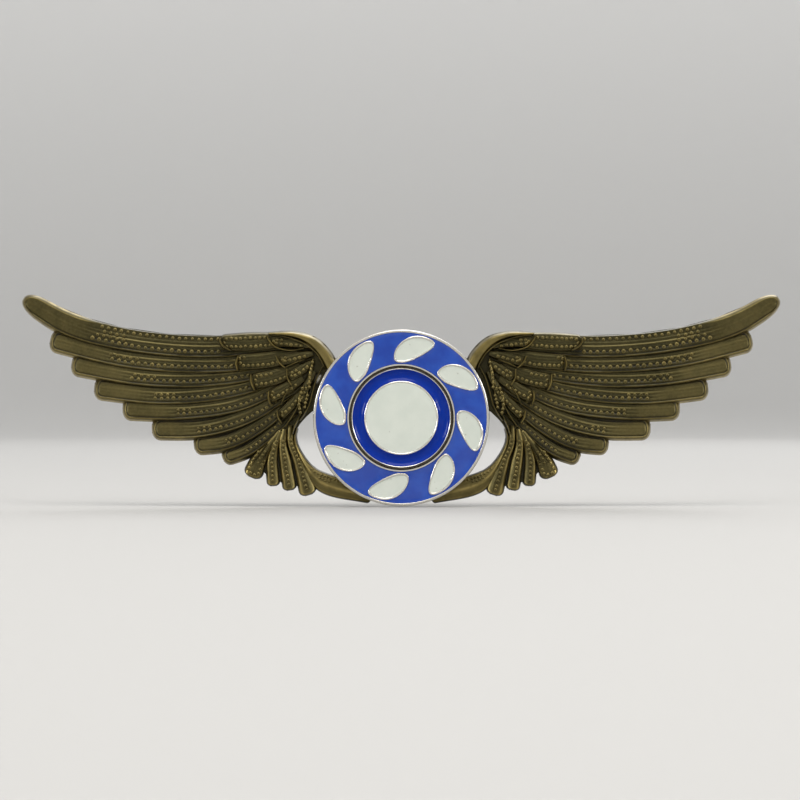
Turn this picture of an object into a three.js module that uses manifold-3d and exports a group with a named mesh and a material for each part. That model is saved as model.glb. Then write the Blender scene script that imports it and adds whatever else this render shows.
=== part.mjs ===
// Pilot wings pin: struck brass wings, a round enamelled badge riveted over their centre,
// and a hinged pin stem with a turning safety catch on the back.
// Millimetres. +X to the viewer's right, the front faces -Y, +Z is up as the pin is worn.
// The origin is on the badge's axis, at the flat back that lies against the cloth.

import * as THREE from 'three';
import { mergeVertices } from 'three/addons/utils/BufferGeometryUtils.js';
import Module from 'manifold-3d';

const wasm = await Module();
wasm.setup();

// ---------------------------------------------------------------- driving sizes

const WINGSPAN = 80;              // tip to tip
const ROUNDEL_RADIUS = 9.3;       // the round badge over the middle
const ROUND_STEPS = 48;           // facets round the badge

// wings
const HUB_INSET = 0.7;            // the hub stays this far inside the badge's edge
const HUB_THICKNESS = 0.9;        // flat metal under the badge
const WEB_THICKNESS = 1.15;       // ground of the relief round the feather roots
const TAIL_WEB_THICKNESS = 0.8;   // and between the tail feathers
const EDGE_THICKNESS = 0.45;      // upright edge below the drafted wall
const DRAFT = 0.42;               // how far the drafted wall leans in
const FEATHER_FALL = 0.3;         // from a feather's raised edge down to its hidden one
const ROUND_FALL = 0.05;          // the same on tail feathers and the shoulder, which are nearly level
const END_POWER = 2.4;            // 2 would end a feather in an ellipse, more makes it blunter
const BLUNT_TIP = 0.04;           // a feather's last station is this far inside its tip
const LEAN_SHARE = 0.6;           // most of a narrow feather's half width that its wall may take
const FLIGHT_THICKNESS = 1.4;     // raised edge of the long feathers
const TAIL_THICKNESS = 1.35;
const COVERT_THICKNESS = 1.65;    // first row of short feathers, lying on the long ones
const SHORT_COVERT_THICKNESS = 1.85;
const SHOULDER_THICKNESS = 2.05;
const SEAT_CLEARANCE = 0.1;       // round the badge where the relief is cut away

// backing disc, against the cloth
const BACK_PLATE_RADIUS = 7;
const BACK_PLATE_THICKNESS = 0.6;

// badge body
const ROUNDEL_BASE = 0.6;         // metal under the enamel
const CELL_DEPTH = 0.65;          // height of the cell walls
const RIM_WIDTH = 0.3;
const INNER_WALL_RADIUS = 5.7;   // outside of the wall round the button
const INNER_WALL_WIDTH = 0.25;
const ENAMEL_SINK = 0.05;         // enamel stops this far under its walls

// white blades in the blue field
const BLADES = 8;
const BLADE_WALL = 0.25;
const BLADE_START = 6.05;          // radius of a blade's inner end
const BLADE_END = 8.65;           // radius of its outer end
const BLADE_SWEEP = 17;           // degrees from the inner end to the outer end
const BLADE_HALF_WIDTH = 1.8;
const BLADE_ROUNDNESS = 0.75;     // lower makes the blade's ends rounder
const BLADE_NARROW = 0.6;         // width at the inner end as a share of the outer
const BLADE_STEPS = 7;

// raised button in the middle
const BUTTON_GAP = 0.22;          // dark joint between the button and its wall
const BUTTON_BASE = 0.4;
const BUTTON_HEIGHT = 1.1;        // seat to the top of its rims
const BUTTON_RIM = 0.12;
const CENTRE_RADIUS = 3.7;        // white disc
const CENTRE_WALL = 0.2;
const RING_HOLLOW = 0.3;          // how far the blue ring dips under its rims
const SHANK_RADIUS = 2;
const SHANK_CLEARANCE = 0.05;
const SHANK_SHORT = 0.3;          // the shank stops short of the backing disc

// solder showing beside the badge
const BEAD_ANGLE = 154.8;         // degrees round from +X
const BEAD_RADIAL = 0.3;          // half size away from the badge
const BEAD_TANGENT = 0.55;        // half size along its edge
const BEAD_HEIGHT = 0.75;
const BEAD_LAND = 0.6;            // flat wing metal left round the solder

// pin stem and its hinge
const STEM_Z = 3;                 // height of the stem on the back
const STEM_STANDOFF = 2.7;        // stem's axis behind the cloth face
const STEM_RADIUS = 0.4;
const STEM_POINT = 4;             // length of the sharpened end
const POINT_SHOULDER = [0.35, 0.55];  // this far back from the tip, this share of the stem's radius
const STEM_OVERHANG = 3;          // past the middle of the catch
const HINGE_X = 17;               // hinge at -HINGE_X
const CATCH_X = 17;
const EYE_RADIUS = 1.1;
const EYE_THICKNESS = 1.2;
const RIVET_RADIUS = 0.5;
const RIVET_HEAD_RADIUS = 0.85;
const RIVET_HEAD = 0.3;
const HEAD_TOP_SHARE = 0.6;       // flat top of a rivet head
const RIVET_FIT = 0.02;           // hole in the ears over the rivet
const RUNNING_CLEARANCE = 0.06;   // turning fits
const SIDE_CLEARANCE = 0.1;       // beside the eye and the catch's flanges
const EAR_THICKNESS = 0.6;
const EAR_RADIUS = 1.25;
const FOOT_THICKNESS = 0.5;       // soldered feet of the hinge and the catch
const FOOT_MARGIN = 1.2;          // foot beyond what stands on it
const SOLDER_THICKNESS = 0.15;
const SOLDER_MARGIN = 0.4;

// safety catch
const CATCH_LENGTH = 2;
const CATCH_WALL = 0.55;
const BARREL_WALL = 0.5;
const BARREL_BORE_RADIUS = 0.62;
const SLOT_WIDTH = 1.1;
const SLOT_CLEARANCE = 0.05;      // the housing's slot is this much wider each side
const POST_HALF_SHARE = 0.55;     // half width of the housing's post, of the housing's radius
const POST_TOP_SHARE = 0.8;       // where the post ends inside the housing, likewise
const FLANGE_THICKNESS = 0.35;
const FLANGE_RADIUS = 1.6;
const TAB_REACH = 2.7;            // end of the thumb tab from the stem's axis
const TAB_WIDTH = 1.3;

// ---------------------------------------------------------------- levels from back to front

const WING_BACK = -BACK_PLATE_THICKNESS;
const ROUNDEL_BACK = WING_BACK - HUB_THICKNESS;
const CELL_FLOOR = ROUNDEL_BACK - ROUNDEL_BASE;
const RIM_FRONT = CELL_FLOOR - CELL_DEPTH;
const BUTTON_FLOOR = CELL_FLOOR - BUTTON_BASE;
const BUTTON_FRONT = CELL_FLOOR - BUTTON_HEIGHT;
const FOOT_BACK = WING_BACK + SOLDER_THICKNESS;
const FOOT_TOP = FOOT_BACK + FOOT_THICKNESS;

const HUB_RADIUS = ROUNDEL_RADIUS - HUB_INSET;
const FIELD_RADIUS = ROUNDEL_RADIUS - RIM_WIDTH;
const BUTTON_HOLE_RADIUS = INNER_WALL_RADIUS - INNER_WALL_WIDTH;
const BUTTON_RADIUS = BUTTON_HOLE_RADIUS - BUTTON_GAP;
const SHANK_HOLE_RADIUS = SHANK_RADIUS + SHANK_CLEARANCE;

// ---------------------------------------------------------------- feathers of the right wing

// Each feather is a spine of [x, z, half width] from its root to its tip, and the length
// of its rounded end. They are drawn for a badge of DRAWN_RADIUS and a wing that reaches
// DRAWN_REACH past it, and spread sideways to the real ones.
const DRAWN_RADIUS = 9.3;
const DRAWN_REACH = 30.7;

const FLIGHT_FEATHERS = [
  { end: 2.6, spine: [[13, 7.85, 1.25], [21, 7.4, 1.3], [29, 8.15, 1.3], [35.2, 9.85, 1.35], [40, 12.6, 1.1]] },
  { end: 1.1, spine: [[12.5, 6.4, 1.2], [20, 5.8, 1.3], [28.8, 6.33, 1.3], [37.15, 8.3, 1.3]] },
  { end: 1.1, spine: [[12, 5.6, 1.2], [19.6, 4.4, 1.3], [27, 4.42, 1.3], [34.9, 5.75, 1.3]] },
  { end: 1.1, spine: [[11.8, 4.9, 1.1], [18.2, 3.1, 1.3], [25.2, 2.48, 1.3], [32.5, 3.2, 1.3]] },
  { end: 1.1, spine: [[11.6, 4, 1], [17.2, 1.7, 1.25], [23, 0.88, 1.3], [29.5, 1.0, 1.3]] },
  { end: 1.1, spine: [[11.4, 3, 0.9], [16.3, 0.3, 1.2], [21, -1.02, 1.25], [26.4, -1.15, 1.25]] },
  { end: 1, spine: [[11.2, 2, 0.7], [14.9, -0.65, 1.1], [18.3, -2.4, 1.15], [21.95, -2.95, 1.1]] },
  { end: 0.9, spine: [[11.1, 0.7, 0.6], [13.4, -1.15, 0.9], [16.2, -3.25, 1], [18.9, -4.3, 0.95]] },
];

const TAIL_FEATHERS = [
  { end: 0.9, spine: [[12.9, -1.5, 0.3], [13.9, -2.9, 0.5], [15, -4.4, 0.88], [15.85, -6.35, 1.1]] },
  { end: 0.6, spine: [[12.7, -1.4, 0.35], [13.4, -3.2, 0.5], [13.65, -4.7, 0.66], [13.5, -7.25, 0.72]] },
  { end: 0.6, spine: [[12.3, -1.2, 0.35], [12.5, -2.7, 0.5], [12.24, -4.7, 0.7], [11.75, -7.7, 0.77]] },
  { end: 0.8, spine: [[11.7, -0.8, 0.35], [11.6, -2.7, 0.5], [10.93, -4.3, 0.66], [9.75, -8.2, 1]] },
];

// the tail feather that runs from the wing down and under the badge, round the opening
const INNER_FEATHER = {
  end: 0.5,
  spine: [
    [11.05, -1.1, 0.16], [11.25, -2.1, 0.2], [10.98, -3.3, 0.28], [9.8, -5.4, 0.55], [8.2, -6.85, 1.05],
    [3, -8.2, 0.95],
  ],
};

const COVERTS = [
  { end: 0.7, spine: [[12, 8.2, 0.85], [16, 7.95, 1.1], [19.25, 7.9, 0.9]] },
  { end: 0.6, spine: [[11, 6.7, 0.8], [14.2, 6.1, 1.05], [17.55, 5.85, 0.95]] },
  { end: 0.6, spine: [[10.6, 5.3, 0.75], [13.2, 4.35, 1], [15.95, 3.75, 0.95]] },
  { end: 0.5, spine: [[10.4, 4.2, 0.6], [12.3, 3, 0.85], [14.15, 2.05, 0.8]] },
  { end: 0.5, spine: [[10.2, 3, 0.5], [11.7, 1.3, 0.7], [13, 0, 0.7]] },
];

const SHORT_COVERTS = [
  { end: 0.5, spine: [[9.4, 7.5, 0.4], [11.4, 7.85, 0.62], [13.95, 8.12, 0.78]] },
  { end: 0.5, spine: [[9.3, 6.8, 0.45], [11.2, 6.4, 0.75], [13, 5.9, 0.7]] },
  { end: 0.5, spine: [[9.3, 5.9, 0.45], [10.6, 5.05, 0.75], [12.05, 4.2, 0.75]] },
  { end: 0.4, spine: [[9.2, 4.9, 0.45], [10, 3.3, 0.6], [10.75, 1.5, 0.6]] },
];

const SHOULDER = { end: 0.4, spine: [[7.2, 5, 0.7], [7.9, 6.5, 0.7], [9.3, 8, 0.6], [11.2, 8.77, 0.38], [13.3, 9.03, 0.18]] };

// ground under the feather roots: outer edge up over the shoulder, then down and back
const WEB = [
  [6.2, 5.6], [7.2, 6.5], [8, 7.7], [9.2, 8.6], [11, 8.95], [13.4, 8.95], [15, 6.5], [14.6, 3],
  [13.3, -0.6], [12.6, -1.7], [11.15, -1.6], [11, -1.15], [10.75, -0.7], [10.4, -0.28], [10, 0.14],
  [9.5, 0.6], [8.8, 1.1], [7.6, 1.6],
];

// thinner ground that closes the gaps between the tail feathers
const TAIL_WEB = [
  [13.9, -1.2], [11.05, -1.3], [11.2, -1.8], [11.22, -2.3], [11.12, -2.85], [10.9, -3.4],
  [10.55, -4], [10.1, -4.7], [9.6, -5.5], [9.2, -6.2], [8.9, -7.3], [10.6, -7.3], [12.4, -7],
  [14.2, -6.1], [15.2, -5], [16.4, -4],
];

// ---------------------------------------------------------------- shape helpers

const radians = THREE.MathUtils.degToRad;

// Puts every vertex where the rule says.
function mapped(geometry, rule) {
  const position = geometry.attributes.position;
  for (let i = 0; i < position.count; i += 1) {
    const place = rule(position.getX(i), position.getY(i), position.getZ(i));
    position.setXYZ(i, ...place);
  }
  return geometry;
}

// A flat shape from an outline and its holes, with the outline running counter-clockwise.
function flatShape(outline, holes) {
  const points = outline.map(([a, b]) => new THREE.Vector2(a, b));
  const shape = new THREE.Shape(THREE.ShapeUtils.isClockWise(points) ? points.reverse() : points);
  shape.holes = holes.map((hole) => new THREE.Path(hole.map(([a, b]) => new THREE.Vector2(a, b))));
  return shape;
}

// An outline in X and Z given thickness from `back` towards the front.
function frontPlate(outline, back, front, holes = []) {
  const slab = new THREE.ExtrudeGeometry(flatShape(outline, holes), { depth: back - front, bevelEnabled: false });
  return mapped(slab, (x, y, z) => [x, back - z, y]);
}

// An outline in Y and Z given length along X.
function sidePlate(outline, left, right) {
  const slab = new THREE.ExtrudeGeometry(flatShape(outline, []), { depth: right - left, bevelEnabled: false });
  return mapped(slab, (x, y, z) => [left + z, x, y]);
}

// An outline in X and Y given height along Z.
function levelPlate(outline, bottom, top) {
  const slab = new THREE.ExtrudeGeometry(flatShape(outline, []), { depth: top - bottom, bevelEnabled: false });
  return mapped(slab, (x, y, z) => [x, y, bottom + z]);
}

// Points round a circle, in the same places as a lathe's facets.
function circle(radius, steps = ROUND_STEPS, a = 0, b = 0) {
  return Array.from({ length: steps }, (_, i) => {
    const angle = (2 * Math.PI * i) / steps;
    return [a + radius * Math.sin(angle), b + radius * Math.cos(angle)];
  });
}

function rectangle(low, high) {
  return [[low[0], low[1]], [high[0], low[1]], [high[0], high[1]], [low[0], high[1]]];
}

// A turned piece on the badge's axis: profile of [radius, y].
function turned(profile, steps = ROUND_STEPS) {
  return new THREE.LatheGeometry(profile.map(([r, y]) => new THREE.Vector2(r, y)), steps);
}

// The same mesh with shared corners, its faces turned outwards.
function closed(geometry) {
  const bare = geometry.index ? geometry.toNonIndexed() : geometry.clone();
  bare.deleteAttribute('normal');
  bare.deleteAttribute('uv');
  const merged = mergeVertices(bare, 1e-5);
  const corners = merged.index.array;
  const faces = [];
  let volume = 0;
  const [a, b, c] = [new THREE.Vector3(), new THREE.Vector3(), new THREE.Vector3()];
  for (let i = 0; i < corners.length; i += 3) {
    const [p, q, r] = corners.slice(i, i + 3);
    if (p !== q && q !== r && r !== p) {
      faces.push([p, q, r]);
      a.fromBufferAttribute(merged.attributes.position, p);
      b.fromBufferAttribute(merged.attributes.position, q);
      c.fromBufferAttribute(merged.attributes.position, r);
      volume += a.dot(b.cross(c));
    }
  }
  merged.setIndex(faces.flatMap(([p, q, r]) => (volume > 0 ? [p, q, r] : [p, r, q])));
  return merged;
}

function solid(geometry) {
  const mesh = closed(geometry);
  return new wasm.Manifold(new wasm.Mesh({
    numProp: 3,
    vertProperties: new Float32Array(mesh.attributes.position.array),
    triVerts: new Uint32Array(mesh.index.array),
  }));
}

function joined(geometries) {
  return geometries.map(solid).reduce((whole, piece) => whole.add(piece));
}

function surfaceOf(manifold) {
  const mesh = manifold.getMesh();
  const geometry = new THREE.BufferGeometry();
  geometry.setAttribute('position', new THREE.BufferAttribute(mesh.vertProperties, 3));
  geometry.setIndex(new THREE.BufferAttribute(mesh.triVerts, 1));
  return geometry;
}

const pin = new THREE.Group();

function addPiece(name, geometry, look) {
  const mesh = new THREE.Mesh(closed(geometry), new THREE.MeshStandardMaterial(look));
  mesh.name = name;
  pin.add(mesh);
}

const BRONZE = { color: 0x5d5330, roughness: 0.45, metalness: 0.9 };
const SILVER = { color: 0xc9c8c2, roughness: 0.25, metalness: 1 };
const BLUE = { color: 0x1f3f9c, roughness: 0.12, metalness: 0 };
const WHITE = { color: 0xdfe2d4, roughness: 0.15, metalness: 0 };
const STEEL = { color: 0xa9aaa8, roughness: 0.3, metalness: 1 };
const SOLDER = { color: 0xb9bab6, roughness: 0.4, metalness: 1 };

// ---------------------------------------------------------------- wings

// Sideways place of a drawn point, so that the wing starts at the badge and ends at the span.
function spread(x) {
  const reach = WINGSPAN / 2 - ROUNDEL_RADIUS;
  return ROUNDEL_RADIUS + ((x - DRAWN_RADIUS) * reach) / DRAWN_REACH;
}

// How full a feather is at a distance from its tip: a rounded, blunt end.
function endFullness(distance, end) {
  const short = Math.max(0, 1 - distance / end);
  return (1 - short ** END_POWER) ** (1 / END_POWER);
}

// A feather as a loft: across it, an upright edge, a drafted wall up to the raised edge,
// and a back that falls towards the edge which the next feather covers.
function featherSolid(feather, side, thickness, fall, stations) {
  const spine = new THREE.CatmullRomCurve3(
    feather.spine.map(([x, z, half]) => new THREE.Vector3(spread(x), z, half)),
  );
  const length = spine.getLength();
  const rings = stations.map((at) => {
    const point = spine.getPointAt(at);
    const along = spine.getTangentAt(at).setZ(0).normalize();
    const left = Math.max((1 - at) * length, BLUNT_TIP);
    const half = point.z * endFullness(left, feather.end);
    const rise = Math.min(1, left / DRAFT);
    const raised = EDGE_THICKNESS + (thickness - EDGE_THICKNESS) * rise;
    const low = EDGE_THICKNESS + (thickness - fall - EDGE_THICKNESS) * rise;
    const lean = Math.min(DRAFT, LEAN_SHARE * half);
    const section = [
      [-half, 0], [-half, EDGE_THICKNESS], [-half + lean, raised], [half - lean / 2, low], [half, 0],
    ];
    return section.map(([across, up]) => [
      side * (point.x - along.y * across), WING_BACK - up, point.y + along.x * across,
    ]);
  });
  return loft(rings);
}

// A closed skin through rings of points, with flat ends.
function loft(rings) {
  const round = rings[0].length;
  const corners = [];
  const face = (p, q, r) => corners.push(...p, ...q, ...r);
  for (let i = 0; i + 1 < rings.length; i += 1) {
    for (let j = 0; j < round; j += 1) {
      const next = (j + 1) % round;
      face(rings[i][j], rings[i + 1][j], rings[i + 1][next]);
      face(rings[i][j], rings[i + 1][next], rings[i][next]);
    }
  }
  for (let j = 1; j + 1 < round; j += 1) {
    face(rings[0][0], rings[0][j], rings[0][j + 1]);
    face(rings.at(-1)[0], rings.at(-1)[j + 1], rings.at(-1)[j]);
  }
  const geometry = new THREE.BufferGeometry();
  geometry.setAttribute('position', new THREE.Float32BufferAttribute(corners, 3));
  return geometry;
}

const LONG_STATIONS = [0, 0.22, 0.42, 0.6, 0.75, 0.87, 0.94, 0.975, 1];
const TAIL_STATIONS = [0, 0.3, 0.55, 0.78, 0.92, 1];
const SHORT_STATIONS = [0, 0.35, 0.7, 0.9, 1];
const CURVED_STATIONS = [0, 0.07, 0.14, 0.21, 0.28, 0.36, 0.44, 0.55, 0.68, 0.82, 0.93, 1];

function wingPieces(side) {
  const row = (feathers, thickness, fall, stations) => feathers.map(
    (feather) => featherSolid(feather, side, thickness, fall, stations),
  );
  const ground = (outline, thickness) => frontPlate(
    outline.map(([x, z]) => [side * spread(x), z]),
    WING_BACK,
    WING_BACK - thickness,
  );
  return [
    ground(WEB, WEB_THICKNESS),
    ground(TAIL_WEB, TAIL_WEB_THICKNESS),
    ...row(FLIGHT_FEATHERS, FLIGHT_THICKNESS, FEATHER_FALL, LONG_STATIONS),
    ...row(TAIL_FEATHERS, TAIL_THICKNESS, ROUND_FALL, TAIL_STATIONS),
    ...row([INNER_FEATHER], TAIL_THICKNESS, ROUND_FALL, CURVED_STATIONS),
    ...row(COVERTS, COVERT_THICKNESS, FEATHER_FALL, SHORT_STATIONS),
    ...row(SHORT_COVERTS, SHORT_COVERT_THICKNESS, FEATHER_FALL, SHORT_STATIONS),
    ...row([SHOULDER], SHOULDER_THICKNESS, ROUND_FALL, CURVED_STATIONS),
  ];
}

const beadDirection = [Math.cos(radians(BEAD_ANGLE)), Math.sin(radians(BEAD_ANGLE))];
const beadRadius = ROUNDEL_RADIUS + SEAT_CLEARANCE + BEAD_RADIAL;
const beadCentre = beadDirection.map((part) => part * beadRadius);

function wingsPlate() {
  const hub = frontPlate(circle(HUB_RADIUS), WING_BACK, ROUNDEL_BACK);
  const land = frontPlate(
    circle(BEAD_TANGENT + BEAD_LAND, 16, ...beadCentre),
    WING_BACK,
    ROUNDEL_BACK,
  );
  const seat = turned([
    [0, ROUNDEL_BACK], [ROUNDEL_RADIUS + SEAT_CLEARANCE, ROUNDEL_BACK],
    [ROUNDEL_RADIUS + SEAT_CLEARANCE, BUTTON_FRONT], [0, BUTTON_FRONT],
  ]);
  const beadPocket = frontPlate(
    circle(BEAD_TANGENT + SEAT_CLEARANCE, 16, ...beadCentre),
    ROUNDEL_BACK,
    BUTTON_FRONT,
  );
  const shankHole = frontPlate(circle(SHANK_HOLE_RADIUS), 0, BUTTON_FRONT);
  const metal = joined([hub, land, ...wingPieces(1), ...wingPieces(-1)]);
  return surfaceOf(metal.subtract(solid(seat)).subtract(solid(beadPocket)).subtract(solid(shankHole)));
}

addPiece('wings_plate', wingsPlate(), BRONZE);
addPiece('back_plate', turned([
  [0, 0], [BACK_PLATE_RADIUS, 0], [BACK_PLATE_RADIUS, WING_BACK], [0, WING_BACK],
]), BRONZE);

// Solder run out from under the badge: a low dome, longer along the badge's edge.
function solderBead() {
  const dome = turned([[0, 0], [1, 0], [0.87, 0.5], [0.5, 0.87], [0, 1]], 16);
  const [outX, outZ] = beadDirection;
  return mapped(dome, (x, y, z) => [
    beadCentre[0] + outX * x * BEAD_RADIAL - outZ * z * BEAD_TANGENT,
    ROUNDEL_BACK - y * BEAD_HEIGHT,
    beadCentre[1] + outZ * x * BEAD_RADIAL + outX * z * BEAD_TANGENT,
  ]);
}

addPiece('solder_bead', solderBead(), SOLDER);

// ---------------------------------------------------------------- enamelled badge

// Outline of one blade, grown by `grow`: its middle line sweeps round as it goes out,
// and its half width follows a rounded paddle that is fullest towards the outside.
function bladeOutline(index, grow = 0) {
  const start = BLADE_START - grow;
  const end = BLADE_END + grow;
  const turn = radians(360 / BLADES) * index;
  const sides = [[], []];
  for (let i = 0; i <= BLADE_STEPS; i += 1) {
    const angle = (Math.PI * i) / BLADE_STEPS;
    const share = (1 - Math.cos(angle)) / 2;
    const radius = start + (end - start) * share;
    const middle = turn + radians(BLADE_SWEEP) * share;
    const half = (BLADE_HALF_WIDTH + grow) * Math.sin(angle) ** BLADE_ROUNDNESS
      * (BLADE_NARROW + (1 - BLADE_NARROW) * share);
    const lean = half / radius;
    sides[0].push([radius * Math.sin(middle - lean), radius * Math.cos(middle - lean)]);
    sides[1].push([radius * Math.sin(middle + lean), radius * Math.cos(middle + lean)]);
  }
  return [...sides[0].slice(0, -1), ...sides[1].reverse().slice(0, -1)];
}

const bladeIndexes = Array.from({ length: BLADES }, (_, i) => i);

function roundelBody() {
  const disc = turned([
    [SHANK_HOLE_RADIUS, ROUNDEL_BACK], [ROUNDEL_RADIUS, ROUNDEL_BACK], [ROUNDEL_RADIUS, RIM_FRONT],
    [FIELD_RADIUS, RIM_FRONT], [FIELD_RADIUS, CELL_FLOOR], [INNER_WALL_RADIUS, CELL_FLOOR],
    [INNER_WALL_RADIUS, RIM_FRONT], [BUTTON_HOLE_RADIUS, RIM_FRONT], [BUTTON_HOLE_RADIUS, CELL_FLOOR],
    [SHANK_HOLE_RADIUS, CELL_FLOOR], [SHANK_HOLE_RADIUS, ROUNDEL_BACK],
  ]);
  const walls = bladeIndexes.map((i) => frontPlate(
    bladeOutline(i, BLADE_WALL),
    (ROUNDEL_BACK + CELL_FLOOR) / 2,
    RIM_FRONT,
  ));
  const cells = bladeIndexes.map((i) => frontPlate(bladeOutline(i), CELL_FLOOR, RIM_FRONT - 1));
  return surfaceOf(joined([disc, ...walls]).subtract(joined(cells)));
}

addPiece('roundel_body', roundelBody(), SILVER);
addPiece('field_enamel', frontPlate(
  circle(FIELD_RADIUS),
  CELL_FLOOR,
  RIM_FRONT + ENAMEL_SINK,
  [circle(INNER_WALL_RADIUS), ...bladeIndexes.map((i) => bladeOutline(i, BLADE_WALL))],
), BLUE);
for (const i of bladeIndexes) {
  addPiece(`blade_enamel_${i + 1}`, frontPlate(bladeOutline(i), CELL_FLOOR, RIM_FRONT + ENAMEL_SINK), WHITE);
}

// ---------------------------------------------------------------- button in the middle

const RING_OUTER = BUTTON_RADIUS - BUTTON_RIM;
const RING_INNER = CENTRE_RADIUS + CENTRE_WALL;

addPiece('button_body', turned([
  [0, WING_BACK - SHANK_SHORT], [SHANK_RADIUS, WING_BACK - SHANK_SHORT], [SHANK_RADIUS, CELL_FLOOR],
  [BUTTON_RADIUS, CELL_FLOOR], [BUTTON_RADIUS, BUTTON_FRONT], [RING_OUTER, BUTTON_FRONT],
  [RING_OUTER, BUTTON_FLOOR], [RING_INNER, BUTTON_FLOOR], [RING_INNER, BUTTON_FRONT],
  [CENTRE_RADIUS, BUTTON_FRONT], [CENTRE_RADIUS, BUTTON_FLOOR], [0, BUTTON_FLOOR],
]), SILVER);

function ringEnamel() {
  const middle = (RING_OUTER + RING_INNER) / 2;
  const lip = BUTTON_FRONT + ENAMEL_SINK;
  return turned([
    [RING_INNER, BUTTON_FLOOR], [RING_OUTER, BUTTON_FLOOR], [RING_OUTER, lip],
    [middle, lip + RING_HOLLOW], [RING_INNER, lip], [RING_INNER, BUTTON_FLOOR],
  ]);
}

addPiece('ring_enamel', ringEnamel(), BLUE);
addPiece('centre_enamel', turned([
  [0, BUTTON_FLOOR], [CENTRE_RADIUS, BUTTON_FLOOR], [CENTRE_RADIUS, BUTTON_FRONT + ENAMEL_SINK],
  [0, BUTTON_FRONT + ENAMEL_SINK],
]), WHITE);

// ---------------------------------------------------------------- hinge on the back

const earGap = EYE_THICKNESS / 2 + SIDE_CLEARANCE;
const earOut = earGap + EAR_THICKNESS;

function footprint(centreX, halfX, halfZ) {
  return rectangle([centreX - halfX, STEM_Z - halfZ], [centreX + halfX, STEM_Z + halfZ]);
}

const hingeFoot = [EAR_RADIUS + FOOT_MARGIN, earOut + FOOT_MARGIN / 2];
const catchRadius = BARREL_BORE_RADIUS + BARREL_WALL + RUNNING_CLEARANCE + CATCH_WALL;
const catchFoot = [CATCH_LENGTH / 2 + FOOT_MARGIN, catchRadius + FOOT_MARGIN / 2];

function solderPad(centreX, [halfX, halfZ]) {
  return frontPlate(footprint(centreX, halfX + SOLDER_MARGIN, halfZ + SOLDER_MARGIN), FOOT_BACK, WING_BACK);
}

function soldered(centreX, [halfX, halfZ]) {
  return frontPlate(footprint(centreX, halfX, halfZ), FOOT_TOP, FOOT_BACK);
}

// Side view of an ear: straight sides up from the foot, a round top about the rivet.
function earOutline() {
  const top = circle(EAR_RADIUS, 16, -HINGE_X, STEM_STANDOFF).filter(([, y]) => y >= STEM_STANDOFF - 1e-6);
  const arc = top.sort((p, q) => q[0] - p[0]);
  return [[-HINGE_X - EAR_RADIUS, FOOT_BACK], [-HINGE_X + EAR_RADIUS, FOOT_BACK], ...arc];
}

function hingeBracket() {
  const hole = circle(RIVET_RADIUS + RIVET_FIT, 24, -HINGE_X, STEM_STANDOFF);
  const ears = [
    levelPlate(earOutline(), STEM_Z + earGap, STEM_Z + earOut),
    levelPlate(earOutline(), STEM_Z - earOut, STEM_Z - earGap),
  ];
  const bore = levelPlate(hole, STEM_Z - earOut - 1, STEM_Z + earOut + 1);
  return surfaceOf(joined([soldered(-HINGE_X, hingeFoot), ...ears]).subtract(solid(bore)));
}

function hingeRivet() {
  const head = earOut + RIVET_HEAD;
  const profile = [
    [0, -head], [RIVET_HEAD_RADIUS * HEAD_TOP_SHARE, -head], [RIVET_HEAD_RADIUS, -earOut], [RIVET_RADIUS, -earOut],
    [RIVET_RADIUS, earOut], [RIVET_HEAD_RADIUS, earOut], [RIVET_HEAD_RADIUS * HEAD_TOP_SHARE, head], [0, head],
  ];
  return mapped(turned(profile, 24), (x, y, z) => [x - HINGE_X, STEM_STANDOFF - z, STEM_Z + y]);
}

function pinStem() {
  const reach = HINGE_X + CATCH_X + STEM_OVERHANG;
  const start = (EYE_RADIUS + RIVET_RADIUS + RUNNING_CLEARANCE) / 2;
  const eye = levelPlate(
    circle(EYE_RADIUS, 24, -HINGE_X, STEM_STANDOFF),
    STEM_Z - EYE_THICKNESS / 2,
    STEM_Z + EYE_THICKNESS / 2,
  );
  const needle = mapped(
    turned([
      [0, start], [STEM_RADIUS, start], [STEM_RADIUS, reach - STEM_POINT],
      [STEM_RADIUS * POINT_SHOULDER[1], reach - STEM_POINT * POINT_SHOULDER[0]], [0, reach],
    ], 12),
    (x, y, z) => [y - HINGE_X, STEM_STANDOFF + z, STEM_Z + x],
  );
  const hole = levelPlate(
    circle(RIVET_RADIUS + RUNNING_CLEARANCE, 24, -HINGE_X, STEM_STANDOFF),
    STEM_Z - EYE_THICKNESS,
    STEM_Z + EYE_THICKNESS,
  );
  return surfaceOf(joined([eye, needle]).subtract(solid(hole)));
}

addPiece('hinge_solder', solderPad(-HINGE_X, hingeFoot), SOLDER);
addPiece('hinge_bracket', hingeBracket(), BRONZE);
addPiece('hinge_rivet', hingeRivet(), BRONZE);
addPiece('pin_stem', pinStem(), STEEL);

// ---------------------------------------------------------------- turning safety catch

const axisAt = [STEM_STANDOFF, STEM_Z];

// A slot from the stem's axis out through the back.
function slotCutter(halfWidth) {
  return sidePlate(
    rectangle([STEM_STANDOFF, STEM_Z - halfWidth], [STEM_STANDOFF + CATCH_LENGTH * 2, STEM_Z + halfWidth]),
    CATCH_X - CATCH_LENGTH * 2,
    CATCH_X + CATCH_LENGTH * 2,
  );
}

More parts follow.
